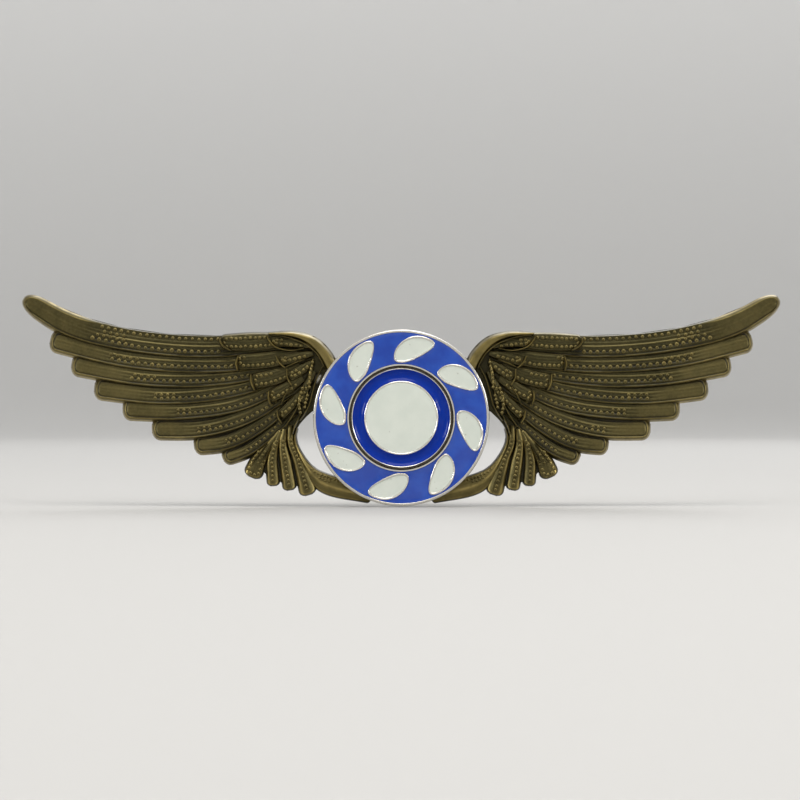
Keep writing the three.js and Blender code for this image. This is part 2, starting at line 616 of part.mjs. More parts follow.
function catchBody() {
  const left = CATCH_X - CATCH_LENGTH / 2;
  const right = CATCH_X + CATCH_LENGTH / 2;
  const housing = sidePlate(circle(catchRadius, 32, ...axisAt), left, right);
  const post = sidePlate(
    rectangle(
      [FOOT_BACK, STEM_Z - catchRadius * POST_HALF_SHARE],
      [STEM_STANDOFF - catchRadius * POST_TOP_SHARE, STEM_Z + catchRadius * POST_HALF_SHARE],
    ),
    left,
    right,
  );
  const bore = sidePlate(circle(catchRadius - CATCH_WALL, 32, ...axisAt), left - 1, right + 1);
  const slot = slotCutter(SLOT_WIDTH / 2 + SLOT_CLEARANCE);
  return surfaceOf(
    joined([soldered(CATCH_X, catchFoot), housing, post]).subtract(solid(bore)).subtract(solid(slot)),
  );
}

function catchBarrel() {
  const near = CATCH_LENGTH / 2 + SIDE_CLEARANCE;
  const far = near + FLANGE_THICKNESS;
  const sleeve = sidePlate(circle(BARREL_BORE_RADIUS + BARREL_WALL, 32, ...axisAt), CATCH_X - far, CATCH_X + far);
  const flanges = [-1, 1].map((side) => sidePlate(
    circle(FLANGE_RADIUS, 32, ...axisAt),
    CATCH_X + Math.min(side * near, side * far),
    CATCH_X + Math.max(side * near, side * far),
  ));
  const tab = sidePlate(
    rectangle(
      [STEM_STANDOFF - TAB_WIDTH / 2, STEM_Z - TAB_REACH],
      [STEM_STANDOFF + TAB_WIDTH / 2, STEM_Z - FLANGE_RADIUS / 2],
    ),
    CATCH_X + near,
    CATCH_X + far,
  );
  const bore = sidePlate(circle(BARREL_BORE_RADIUS, 32, ...axisAt), CATCH_X - far - 1, CATCH_X + far + 1);
  const slot = slotCutter(SLOT_WIDTH / 2);
  return surfaceOf(joined([sleeve, ...flanges, tab]).subtract(solid(bore)).subtract(solid(slot)));
}

addPiece('catch_solder', solderPad(CATCH_X, catchFoot), SOLDER);
addPiece('catch_body', catchBody(), BRONZE);
addPiece('catch_barrel', catchBarrel(), BRONZE);

export default pin;
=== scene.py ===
# %% [markdown]
# # A pilot wings pin
# A pair of struck brass wings, darkened to antique bronze, with a round enamelled badge fixed over
# the middle and a safety pin on the back. The CAD model already has every piece at its true place
# and size, but with plain facets. Here each piece gets the surface that the eye sees: crested
# feathers with rows of beads, rounded metal rims, glassy enamel and worn plating.
# Sizes are written in millimetres, as a jeweller would, and become metres when a mesh is made.
# +X is to the viewer's right, the front faces -Y and +Z is up.

# %% Open the CAD frame
import math

import bmesh
import bpy
import numpy as np
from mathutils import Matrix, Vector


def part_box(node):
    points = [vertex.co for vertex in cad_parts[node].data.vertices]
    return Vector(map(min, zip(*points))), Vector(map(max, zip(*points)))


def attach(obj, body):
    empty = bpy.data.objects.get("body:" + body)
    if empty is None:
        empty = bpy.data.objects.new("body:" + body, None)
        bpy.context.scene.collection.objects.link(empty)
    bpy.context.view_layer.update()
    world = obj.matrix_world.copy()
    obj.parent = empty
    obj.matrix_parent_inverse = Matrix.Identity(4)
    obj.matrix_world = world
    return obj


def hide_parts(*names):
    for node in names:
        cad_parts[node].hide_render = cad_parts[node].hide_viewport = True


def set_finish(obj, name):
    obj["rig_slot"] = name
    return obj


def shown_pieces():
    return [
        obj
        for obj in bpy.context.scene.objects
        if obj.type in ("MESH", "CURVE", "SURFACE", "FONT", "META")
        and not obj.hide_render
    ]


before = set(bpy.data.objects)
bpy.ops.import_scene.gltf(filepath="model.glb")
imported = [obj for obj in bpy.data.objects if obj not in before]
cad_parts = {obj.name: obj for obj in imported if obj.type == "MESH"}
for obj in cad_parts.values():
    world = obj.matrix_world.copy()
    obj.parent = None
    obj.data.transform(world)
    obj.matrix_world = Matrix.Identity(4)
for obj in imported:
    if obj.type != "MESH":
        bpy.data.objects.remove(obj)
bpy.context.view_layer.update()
MM = 0.001

# %% [markdown]
# ## One way to make every surface
# A curved metal surface is easiest to describe as a sheet of points, rows by columns, like cloth
# with a pattern. The helper below numbers the four corners of every square in such a sheet, and
# the next one turns sheets into a mesh object. It welds points that fall on each other, which
# closes the seams and the poles, turns the faces outward, and ties the object to its CAD piece.

# %% Sheets of points to meshes
WELD = 3e-7


def sheet_faces(rows, cols):
    """Corner numbers of all squares in a sheet of rows x cols points."""
    r, c = np.meshgrid(np.arange(rows - 1), np.arange(cols - 1), indexing="ij")
    first = r * cols + c
    return np.stack([first, first + 1, first + cols + 1, first + cols], axis=-1).reshape(-1, 4)


def as_sheet(points, **marks):
    """One shell: a rows x cols x 3 array of points in mm, its squares and its marks for the shader."""
    rows, cols = points.shape[:2]
    flat = {key: np.broadcast_to(value, (rows, cols)).reshape(-1) for key, value in marks.items()}
    return points.reshape(-1, 3), sheet_faces(rows, cols), flat


def mirrored(shell):
    """The same shell on the other side of the badge: x changes sign and the faces turn round."""
    points, faces, marks = shell
    return points * np.array([-1, 1, 1]), faces[:, ::-1], marks


def outward(shell):
    """The shell with its faces turned so that the volume they enclose is positive."""
    points, faces, marks = shell
    a, b, c, d = (points[faces[:, k]] for k in range(4))
    volume = np.einsum("ij,ij->i", a, np.cross(b, c) + np.cross(c, d)).sum()
    return shell if volume > 0 else (points, faces[:, ::-1], marks)


def new_object(name, data):
    """An object that holds the data and stands in the scene."""
    made = bpy.data.objects.new(name, data)
    bpy.context.scene.collection.objects.link(made)
    return made


def make_piece(name, shells, body, slot, replaces=(), smooth=40):
    """A finished object from closed shells, tied to its CAD body, material slot and CAD nodes."""
    shells = [outward(shell) for shell in shells]
    starts = np.cumsum([0] + [len(shell[0]) for shell in shells[:-1]])
    points = np.concatenate([shell[0] for shell in shells]) * MM
    faces = np.concatenate([shell[1] + start for shell, start in zip(shells, starts)])
    mesh = bpy.data.meshes.new(name)
    mesh.vertices.add(len(points))
    mesh.vertices.foreach_set("co", points.astype(np.float32).ravel())
    mesh.loops.add(faces.size)
    mesh.loops.foreach_set("vertex_index", faces.astype(np.int32).ravel())
    mesh.polygons.add(len(faces))
    mesh.polygons.foreach_set("loop_start", np.arange(0, faces.size, 4, dtype=np.int32))
    mesh.update(calc_edges=True)
    for key in sorted(set().union(*(shell[2] for shell in shells))):
        values = [shell[2].get(key, np.zeros(len(shell[0]))) for shell in shells]
        mark = mesh.attributes.new(key, "FLOAT", "POINT")
        mark.data.foreach_set("value", np.concatenate(values).astype(np.float32))
    work = bmesh.new()
    work.from_mesh(mesh)
    bmesh.ops.remove_doubles(work, verts=work.verts, dist=WELD)
    open_edges = sum(1 for edge in work.edges if len(edge.link_faces) != 2)
    work.to_mesh(mesh)
    work.free()
    mesh.shade_smooth()
    mesh.set_sharp_from_angle(angle=math.radians(smooth))
    made = new_object(name, mesh)
    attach(made, body)
    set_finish(made, slot)
    if replaces:
        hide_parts(*replaces)
    print(f"{name}: {len(mesh.polygons)} faces, {open_edges} open edges")
    return made


def wing_piece(name, shells):
    """One bronze piece from the shells of the right wing and their mirror images."""
    both = shells + [mirrored(shell) for shell in shells]
    make_piece(name, both, "badge", "antique_bronze", ["wings_plate"])

# %% [markdown]
# ## How a feather is drawn
# The die cutter lays each feather out along a curved centre line. A table row below is one point
# of that line: how far out, how high, and half the feather's width there. A smooth curve through
# the points is a Catmull-Rom spline, and the centripetal kind keeps uneven points from looping.
# The CAD uses the same curve, so these feathers land exactly where its feathers are.

# %% Curves
def blend(amount, before, after):
    """Mix two values, all of before at 0 and all of after at 1."""
    return before + (after - before) * amount


def step(value, low, high):
    """Ease from 0 at low to 1 at high, flat at both ends."""
    x = np.clip((value - low) / (high - low), 0, 1)
    return x * x * (3 - 2 * x)


def crowded(count):
    """Numbers from 0 to 1 that crowd towards both ends."""
    return (1 - np.cos(np.linspace(0, np.pi, count))) / 2


def bell(value):
    """A soft bump, 1 at zero and nearly nothing beyond 2 either way."""
    return np.exp(-value * value)


def spine_curve(control, per_span=80):
    """Centripetal Catmull-Rom curve through the rows of control, as many short steps."""
    control = np.array(control, float)
    ends = [2 * control[:1] - control[1:2], control, 2 * control[-1:] - control[-2:-1]]
    p = np.concatenate(ends)
    knots = np.sum(np.diff(p, axis=0) ** 2, axis=1) ** 0.25
    out = [control[:1]]
    for i in range(1, len(p) - 2):
        k0, k1, k2 = knots[i - 1:i + 2]
        a, b, c, d = p[i - 1:i + 3]
        leave = ((b - a) / k0 - (c - a) / (k0 + k1) + (c - b) / k1) * k1
        arrive = ((c - b) / k1 - (d - b) / (k1 + k2) + (d - c) / k2) * k1
        t = np.linspace(0, 1, per_span + 1)[1:, None]
        cubic = 2 * b - 2 * c + leave + arrive
        square = -3 * b + 3 * c - 2 * leave - arrive
        out.append(b + leave * t + square * t ** 2 + cubic * t ** 3)
    return np.concatenate(out)


def measured(control):
    """A feather's centre line with its length so far, its half width and its sideways direction."""
    curve = spine_curve(control)
    steps = np.linalg.norm(np.diff(curve[:, :2], axis=0), axis=1)
    length = np.concatenate([[0], np.cumsum(steps)])
    along = np.gradient(curve[:, :2], length, axis=0)
    along /= np.linalg.norm(along, axis=1)[:, None]
    side = np.stack([-along[:, 1], along[:, 0]], axis=1)
    return {"length": length, "centre": curve[:, :2], "half": curve[:, 2], "side": side}


def place(line, s, t):
    """x and z of the points s mm along a feather and t mm to the side of its centre line."""
    at = [np.interp(s, line["length"], line["centre"][:, k]) for k in (0, 1)]
    side = [np.interp(s, line["length"], line["side"][:, k]) for k in (0, 1)]
    return at[0] + t * side[0], at[1] + t * side[1]

# %% [markdown]
# ## The feathers of one wing
# Long flight feathers come first, from the top of the wing down, then the short tail feathers at
# the bottom, two rows of coverts that lie on their roots, and the smooth shoulder over everything.

# %% Feather tables
FLIGHT = [
    (2.6, [[13, 7.85, 1.25], [21, 7.4, 1.3], [29, 8.15, 1.3], [35.2, 9.85, 1.35], [40, 12.6, 1.1]]),
    (1.1, [[12.5, 6.4, 1.2], [20, 5.8, 1.3], [28.8, 6.33, 1.3], [37.15, 8.3, 1.3]]),
    (1.1, [[12, 5.6, 1.2], [19.6, 4.4, 1.3], [27, 4.42, 1.3], [34.9, 5.75, 1.3]]),
    (1.1, [[11.8, 4.9, 1.1], [18.2, 3.1, 1.3], [25.2, 2.48, 1.3], [32.5, 3.2, 1.3]]),
    (1.1, [[11.6, 4, 1], [17.2, 1.7, 1.25], [23, 0.88, 1.3], [29.5, 1.0, 1.3]]),
    (1.1, [[11.4, 3, 0.9], [16.3, 0.3, 1.2], [21, -1.02, 1.25], [26.4, -1.15, 1.25]]),
    (1.0, [[11.2, 2, 0.7], [14.9, -0.65, 1.1], [18.3, -2.4, 1.15], [21.95, -2.95, 1.1]]),
    (0.9, [[11.1, 0.7, 0.6], [13.4, -1.15, 0.9], [16.2, -3.25, 1], [18.9, -4.3, 0.95]]),
]
TAIL = [
    (0.9, [[12.9, -1.5, 0.3], [13.9, -2.9, 0.5], [15, -4.4, 0.88], [15.85, -6.35, 1.1]]),
    (0.6, [[12.7, -1.4, 0.35], [13.4, -3.2, 0.5], [13.65, -4.7, 0.66], [13.5, -7.25, 0.72]]),
    (0.6, [[12.3, -1.2, 0.35], [12.5, -2.7, 0.5], [12.24, -4.7, 0.7], [11.75, -7.7, 0.77]]),
    (0.8, [[11.7, -0.8, 0.35], [11.6, -2.7, 0.5], [10.93, -4.3, 0.66], [9.75, -8.2, 1]]),
    (0.5, [[11.05, -1.1, 0.16], [11.25, -2.1, 0.2], [10.98, -3.3, 0.28], [9.8, -5.4, 0.55],
           [8.2, -6.85, 1.05], [3, -8.2, 0.95]]),
]
COVERTS = [
    (0.7, [[12, 8.2, 0.85], [16, 7.95, 1.1], [19.25, 7.9, 0.9]]),
    (0.6, [[11, 6.7, 0.8], [14.2, 6.1, 1.05], [17.55, 5.85, 0.95]]),
    (0.6, [[10.6, 5.3, 0.75], [13.2, 4.35, 1], [15.95, 3.75, 0.95]]),
    (0.5, [[10.4, 4.2, 0.6], [12.3, 3, 0.85], [14.15, 2.05, 0.8]]),
    (0.5, [[10.2, 3, 0.5], [11.7, 1.3, 0.7], [13, 0, 0.7]]),
]
SHORT_COVERTS = [
    (0.5, [[9.4, 7.5, 0.4], [11.4, 7.85, 0.62], [13.95, 8.12, 0.78]]),
    (0.5, [[9.3, 6.8, 0.45], [11.2, 6.4, 0.75], [13, 5.9, 0.7]]),
    (0.5, [[9.3, 5.9, 0.45], [10.6, 5.05, 0.75], [12.05, 4.2, 0.75]]),
    (0.4, [[9.2, 4.9, 0.45], [10, 3.3, 0.6], [10.75, 1.5, 0.6]]),
]
SHOULDER = [
    (0.5, [[7.25, 5, 0.75], [8, 6.5, 0.78], [9.35, 7.95, 0.68], [11.2, 8.7, 0.46],
           [13.3, 8.86, 0.26], [14.1, 8.86, 0.16]]),
]
INNER_RIDGES = [
    (0.2, [[8.25, 5.45, 0.1], [8.95, 4.05, 0.14], [9.38, 2.6, 0.15], [9.68, 1.4, 0.14],
           [10.2, 0.45, 0.13], [10.75, -0.35, 0.1]]),
    (0.3, [[9.3, 6.2, 0.2], [9.6, 4.6, 0.34], [9.75, 2.9, 0.24]]),
    (0.3, [[10.3, 3.4, 0.18], [10.75, 1.9, 0.32], [10.6, 0.1, 0.2]]),
    (0.3, [[9.85, 2.7, 0.16], [10.08, 1.7, 0.26], [10.15, 0.8, 0.2]]),
    (0.2, [[10.2, 6.15, 0.1], [11.3, 5.75, 0.16], [12.2, 5.35, 0.12]]),
    (0.2, [[11.6, 3.3, 0.1], [12.3, 2.3, 0.15], [12.7, 1.3, 0.1]]),
    (0.2, [[10.9, 1.2, 0.12], [11.6, 0.0, 0.16], [12.3, -1.0, 0.12]]),
    (0.2, [[10.7, 0.2, 0.12], [11.2, -0.8, 0.16], [11.5, -1.8, 0.12]]),
]
CAPS = [
    (0.2, [[18.95, 8.48, 0.13], [19.1, 8.15, 0.2], [18.8, 7.6, 0.18], [17.9, 7.05, 0.1]]),
    (0.2, [[17.2, 6.5, 0.14], [17.42, 5.7, 0.24], [17.2, 4.85, 0.15]]),
    (0.2, [[15.85, 4.6, 0.15], [15.8, 3.7, 0.23], [15.4, 2.8, 0.15]]),
    (0.2, [[13.95, 2.85, 0.15], [14.0, 2.1, 0.22], [13.75, 1.3, 0.14]]),
    (0.2, [[13.1, 0.75, 0.14], [12.95, 0.0, 0.21], [12.55, -0.65, 0.14]]),
    (0.2, [[14.2, 8.7, 0.12], [13.95, 8.2, 0.21], [13.3, 7.5, 0.19], [11.6, 7.1, 0.13],
           [10.2, 7.35, 0.09]]),
    (0.2, [[13.2, 6.55, 0.13], [12.85, 5.8, 0.22], [12.15, 5.2, 0.14]]),
    (0.2, [[12.05, 5.15, 0.13], [12.0, 4.2, 0.21], [11.5, 3.35, 0.14]]),
    (0.2, [[8.1, 5.3, 0.08], [8.5, 6.15, 0.12], [9.0, 6.88, 0.13], [9.7, 7.48, 0.13],
           [10.5, 7.96, 0.12], [11.4, 8.3, 0.11], [12.6, 8.6, 0.1], [13.8, 8.72, 0.08]]),
]
TAIL_RIDGES = [
    (0.3, [[13.65, -2.75, 0.07], [14.1, -3.7, 0.11], [14.75, -4.75, 0.08]]),
    (0.3, [[14.15, -2.7, 0.07], [14.9, -3.7, 0.12], [15.75, -4.8, 0.1]]),
]
print("feathers on each wing:", len(FLIGHT + TAIL + COVERTS + SHORT_COVERTS))

# %% [markdown]
# ## The relief of a feather
# Everything in a feather's section depends on two distances: how far a point is in from the
# feather's outline, and how far across it is. At the outline the metal stands upright, then leans
# in to a rounded crest, because a die must let the metal go. Just inside runs a fine engraved
# groove. Behind it the vane slopes down until the next feather covers it, with fine raised lines
# for the barbs. The rounded end is a superellipse, a circle pushed towards a square.

# %% Feather sections
WING_BACK = -0.6
EDGE = 0.45
DRAFT = 0.42
END_POWER = 2.4
OUTLINE_EXTRA = 0.02
BARB_PITCH, BARB_HEIGHT = 0.36, 0.028
SHAFT_HEIGHT, GROOVE_DEPTH, CHANNEL_DEPTH = 0.02, 0.11, 0.06
ROUND_BARB_PITCH, ROUND_BARB_HEIGHT = 0.31, 0.02
ROUND_GROOVE_DEPTH, RIDGE_HEIGHT = 0.07, 0.06
BEAD_SINK = 0.2


def edge_distance(d, t, half, end):
    """Distance in from the outline: d mm from the tip, t mm aside, on a superellipse end."""
    along = np.clip(1 - d / end, 0, 1) ** END_POWER
    across = (np.abs(t) / half) ** END_POWER
    total = along + across + 1e-9
    scale = (end * along + half * (across + 1e-9)) / total
    return np.clip(1 - total ** (1 / END_POWER), 0, 1) * scale


def crest(e, draft):
    """Share of the full height at e mm in from the outline: a leaning wall with a rounded top."""
    return 1 - (1 - np.clip(e / draft, 0, 1)) ** 1.7


def flight_relief(s, d, t, half, end, style):
    """Height above the back, and the recess and rubbed marks, of a long feather."""
    e = edge_distance(d, t, half, end)
    across = (t + half) / (2 * half)
    inner = style["inner"](s)
    draft = np.where(t > 0, style["upper_draft"](s), DRAFT)
    vane = style["top"] - style["fall"] * across ** 1.3
    barbs = np.cos(2 * np.pi * (t + half) / BARB_PITCH) * step(e, 0.55, 0.8) * (0.15 + 0.85 * inner)
    shaft = bell((t - 0.1 * half) / 0.08) * step(e, 0.5, 0.8) * (0.3 + 0.7 * inner)
    groove = bell((e - 0.5) / 0.075) * (1 - style["grooveless"] * step(t, -0.2, 0.2))
    channel = style["beaded"](s, t, half)
    height = EDGE + (vane - EDGE) * crest(e, draft) + BARB_HEIGHT * barbs + SHAFT_HEIGHT * shaft
    height = height - GROOVE_DEPTH * groove - CHANNEL_DEPTH * channel
    recess = groove + 0.6 * channel + 0.6 * step(across, 0.62, 0.8) * style["covered"]
    recess = recess + 0.8 * (1 - step(e, 0.0, 0.1)) * inner + 0.6 * step(-barbs, 0.1, 1.0)
    rim = bell((e - 0.1) / 0.08) * (1 - inner) + 0.38 * bell((e - 0.34) / 0.07)
    rubbed = rim * np.where(t > 0.3, 0.6 - 0.6 * inner, 1) + 0.15 * shaft + 0.14 * (1 - inner)
    return height, recess, rubbed


def convex_relief(s, d, t, half, end, style):
    """Height and marks of a feather that is round across, with a line of light down one side."""
    e = edge_distance(d, t, half, end)
    across = t / half
    draft = np.minimum(style["draft"], 0.7 * half)
    vane = style["top"] - style["fall"] * across ** 2
    groove = bell((e - 0.36) / 0.06) * style["grooved"]
    height = EDGE + (vane - EDGE) * crest(e, draft) - ROUND_GROOVE_DEPTH * groove
    ridge = bell((across - style["ridge_at"]) / 0.14) * step(e, 0.05, 0.2)
    barbs = np.cos(2 * np.pi * (t + half) / ROUND_BARB_PITCH) * step(e, 0.35, 0.6)
    barbs = barbs * style["barbs"]
    height = height + RIDGE_HEIGHT * ridge + ROUND_BARB_HEIGHT * barbs
    recess = 0.9 * groove + style["edge_dark"] * (1 - step(e, 0.0, 0.14))
    recess = recess + 0.5 * step(-barbs, 0.1, 1.0)
    rubbed = bell((e - 0.22) / 0.08) * style["rim"] + 0.9 * ridge
    rubbed = rubbed + style["polish"] * step(e, 0.05, 0.25)
    return height, recess, rubbed


def feather(end, control, relief, style, spacing=0.3, across=40):
    """A closed feather, and what its beads need: stations along its line, and at each a ring of
    points over and under it. Stations crowd towards the round tip and side points crowd towards
    both edges, where the relief changes fastest. The heights come from the relief function."""
    line = measured(control)
    total = line["length"][-1]
    turn = np.linspace(0, np.pi / 2, 22)
    inland = np.linspace(end, total, max(4, int((total - end) / spacing)))[1:]
    d = np.concatenate([end * (1 - np.cos(turn)), inland])[::-1]
    s = total - d
    half = np.interp(s, line["length"], line["half"]) + OUTLINE_EXTRA
    fullness = np.clip(1 - np.clip(1 - d / end, 0, 1) ** END_POWER, 0, 1) ** (1 / END_POWER)
    u = np.linspace(-1, 1, across)
    u = np.sign(u) * (1 - (1 - np.abs(u)) ** 1.35)
    s2, u2 = np.meshgrid(s, u, indexing="ij")
    d2 = np.broadcast_to(d[:, None], s2.shape)
    half2 = np.broadcast_to(half[:, None], s2.shape)
    t2 = u2 * (half * fullness)[:, None]
    height, recess, rubbed = relief(s2, d2, t2, half2, end, style)
    x, z = place(line, s2, t2)
    top = np.stack([x, WING_BACK - height, z], axis=-1)
    foot = WING_BACK - style.get("foot", 0.03)
    low = [top[:, [k]] * [1, 0, 1] + [0, foot, 0] for k in (0, -1)]
    ring = np.concatenate([low[0], top, low[1], low[0]], axis=1)
    root = np.broadcast_to(ring[0].mean(axis=0), ring[:1].shape)
    ring = np.concatenate([root, ring])
    marks = {}
    for key, value in {"recess": recess, "rubbed": rubbed}.items():
        value = np.pad(np.clip(value, 0, 1), ((1, 0), (1, 2)), mode="edge")
        value[:, [0, -2, -1]] = 0.35 if key == "recess" else 0.0
        marks[key] = value
    return as_sheet(ring, **marks), (line, end, relief, style)

# %% [markdown]
# ## Rows of beads
# Between its groove and its middle every long feather carries a row of small round beads that ends
# in a little cluster. They were punched into the die one by one. A bead here is a low dome, and
# one numpy array holds the domes of a whole wing: a unit dome, scaled and moved to each place.

# %% Beads
def domes(centres, radii, rise=0.9, rings=4, sides=12):
    """Low closed domes at centres (x, y, z in mm) that stand towards -Y, as one set of shells, each
    with a painted highlight ring and a painted dark top.
    """
    centres = np.array(centres, float)
    radii = np.broadcast_to(radii, len(centres)).astype(float)
    tilt = np.linspace(0, np.pi / 2, rings + 1)
    turn = np.linspace(0, 2 * np.pi, sides + 1)
    tilt, turn = np.meshgrid(tilt, turn, indexing="ij")
    unit = np.stack([np.sin(tilt) * np.cos(turn), -np.cos(tilt) * rise,
                     np.sin(tilt) * np.sin(turn)], axis=-1)
    under = unit[-1:] * [1, 0, 1] + [0, 0.6, 0]
    unit = np.concatenate([unit, under, under * 0 + [0, 0.6, 0]])
    points = centres[:, None, None] + unit[None] * radii[:, None, None, None]
    rows, cols = unit.shape[:2]
    faces = sheet_faces(rows, cols)[None] + (np.arange(len(centres)) * rows * cols)[:, None, None]
    # Painted light on every bead: the bright band part way down the dome is a painted highlight ring
    # and the darker top is painted shade; the dark foot is patina.
    light = np.interp(np.arange(rows), [0, 1, 2, 3, rings], [0.1, 0.3, 0.55, 0.35, 0.0])
    dark = np.interp(np.arange(rows), [0, 1, 2, 3, rings], [0.35, 0.2, 0.0, 0.3, 1.0])
    rubbed = np.broadcast_to(light[:, None], (len(centres), rows, cols)).reshape(-1)
    recess = np.broadcast_to(dark[:, None], (len(centres), rows, cols)).reshape(-1)
    return points.reshape(-1, 3), faces.reshape(-1, 4), {"rubbed": rubbed, "recess": recess}


def bead_spots(base, s, t, radius):
    """Centres of beads s mm along a feather and t mm aside, sunk a little into its relief."""
    line, end, relief, style = base
    half = np.interp(s, line["length"], line["half"])
    height = relief(s, line["length"][-1] - s, t, half, end, style)[0]
    x, z = place(line, s, t)
    return np.stack([x, WING_BACK - height + radius * BEAD_SINK, z], axis=-1)


def bead_row(base, in_from_edge, start, stop, pitch, radius, side=-1):
    """Centres of beads between two distances along a feather, beside an edge or, for an
    in_from_edge of None, along its middle."""
    line = base[0]
    stop = start + pitch * round((stop - start) / pitch)
    s = np.arange(start, stop + 0.01, pitch)
    half = np.interp(s, line["length"], line["half"])
    t = half * 0 if in_from_edge is None else side * (half - in_from_edge)
    return bead_spots(base, s, t, radius)


def bead_loop(base, in_from_edge, start, back, pitch, radius):
    """Centres of beads that follow the lower edge, go round the tip and come back a little."""
    line, end = base[:2]
    total = line["length"][-1]
    low = np.stack([np.linspace(start, total - end, 60), np.full(60, -1.0)], axis=1)
    turn = np.linspace(0, np.pi, 80)
    half = np.interp(total - end, line["length"], line["half"])
    shrink = 1 - in_from_edge / half
    cos, sin = np.cos(turn), np.sin(turn)
    tip_s = total - end + (end - in_from_edge) * np.abs(sin) ** (2 / END_POWER)
    tip_t = -np.sign(cos) * np.abs(cos) ** (2 / END_POWER) * shrink
    high = np.stack([np.linspace(total - end, total - end - back, 20), np.full(20, 1.0)], axis=1)
    low[:, 1] *= shrink
    high[:, 1] *= shrink
    path = np.concatenate([low, np.stack([tip_s, tip_t], axis=1), high])
    t = path[:, 1] * np.interp(path[:, 0], line["length"], line["half"])
    x, z = place(line, path[:, 0], t)
    run = np.concatenate([[0], np.cumsum(np.hypot(np.diff(x), np.diff(z)))])
    at = np.arange(0, run[-1], pitch)
    return bead_spots(base, np.interp(at, run, path[:, 0]), np.interp(at, run, t), radius)

# %% [markdown]
# ## Building the wings
# Each flight feather overlaps the one below it like roof tiles, so the order needs no sorting: the
# raised edge of one simply stands higher than the sunken edge of the next. The bead rows stop
# further in on every lower feather, which makes the fan shape.

# %% Flight feathers
BEAD_PITCH = [0.7, 0.7, 0.68, 0.64, 0.6, 0.58, 0.56, 0.56]
BEAD_SIZE = [0.25, 0.25, 0.24, 0.23, 0.21, 0.2, 0.2, 0.19]
ROW_IN, TOP_ROW_IN = 0.88, 0.42
ROWS_END = [32.4, 30.3, 28.2, 25.9, 23.4, 21.3, 18.4, 16.2]
ROWS_START = [19.3, 17.9, 16.2, 14.6, 13.7, 13.3, 13.0, 12.8]
CLUSTER = [(3.5, 4), (2.8, 2), (2.5, 2), (2.2, 2), (1.4, 2), (1.4, 2), (1.4, 2), (0.0, 1)]

hand = np.random.default_rng(7)
flight_shells, bead_centres, bead_sizes = [], [], []


def add_beads(centres, radius):
    """Keep a row of beads, a little uneven as hand punching leaves them, for one mesh at the end."""
    shift = hand.normal(0, 0.025, centres.shape) * [1, 0.6, 1]
    bead_centres.append(centres + shift)
    bead_sizes.append(radius * (1 + hand.normal(0, 0.07, len(centres))))


for number, (end, control) in enumerate(FLIGHT):
    line = measured(control)
    run_x = line["centre"][:, 0]
    row_end = np.interp(ROWS_END[number], run_x, line["length"])
    row_start = np.interp(ROWS_START[number], run_x, line["length"])
    top_end = np.interp(31.0, run_x, line["length"])

    def inner(s, last=row_end):
        """1 where the feather is finely worked, easing to 0 past its last bead."""
        return 1 - step(s, last - 1.0, last + 2.5)

    def beaded(s, t, half, last=row_end, top=number == 0):
        """1 in the sunk channels that the bead rows lie in."""
        low_row = bell((t + half - ROW_IN) / 0.27) * (1 - step(s, last, last + 0.6))
        return low_row + 0.8 * top * bell((half - t - TOP_ROW_IN) / 0.22) * (1 - step(s, 17.5, 18.5))

    def upper_draft(s, top=number == 0, last=top_end):
        """How far the upper edge leans: steep along the top feather's rim, until it runs free."""
        return blend(step(s, last, last + 4), 0.12, DRAFT) if top else DRAFT

    style = {"top": 1.4, "fall": 0.2 if number == 0 else 0.5, "covered": float(number > 0),
             "beaded": beaded, "inner": inner, "upper_draft": upper_draft,
             "grooveless": float(number == 0)}
    shell, base = feather(end, control, flight_relief, style)
    flight_shells.append(shell)
    back_from_end, rows = CLUSTER[number]
    pitch, size = BEAD_PITCH[number], BEAD_SIZE[number]
    add_beads(bead_row(base, ROW_IN, row_start, row_end, pitch, size), size)
    for row in range(1, rows):
        first = row_end - back_from_end + 0.35 * (row % 2) + 0.4 * (row > 1)
        last = row_end + 0.35 * (row % 2) - 0.35 * row
        row_in = ROW_IN + 1.8 * size * row
        add_beads(bead_row(base, row_in, first, last, pitch, size), size * 0.9)
    if number == 0:
        top_row = bead_row(base, TOP_ROW_IN, row_start, top_end, pitch, size, side=1)
        add_beads(top_row, size * 0.85)

wing_piece("flight_feathers", flight_shells)

# %% [markdown]
# The tail feathers at the bottom are narrower and rounder, packed side by side, with a row of
# beads down the middle of each. The outermost has a loop of beads round its edge as well, and the
# innermost curves in under the badge with two short rows beside its edge. Two thin low ridges
# fill the notch between the tail and the flight feathers.

# %% Tail feathers
TAIL_STYLE = {"top": 1.38, "fall": 0.42, "grooved": 0.0, "rim": 0.4, "ridge_at": 0.6,
              "draft": 0.14, "polish": 0.12, "barbs": 0.5, "edge_dark": 0.9}
LOW_RIDGE_STYLE = dict(TAIL_STYLE, top=1.5, fall=0.2, rim=0.6, polish=0.5, barbs=0.0, edge_dark=0.4,
                       foot=0.06)
TAIL_BEAD, SMALL_BEAD, INNER_BEAD = 0.22, 0.18, 0.17
TAIL_PITCH, LOOP_PITCH, INNER_PITCH = 0.46, 0.5, 0.42
TAIL_EDGE_IN = 0.42

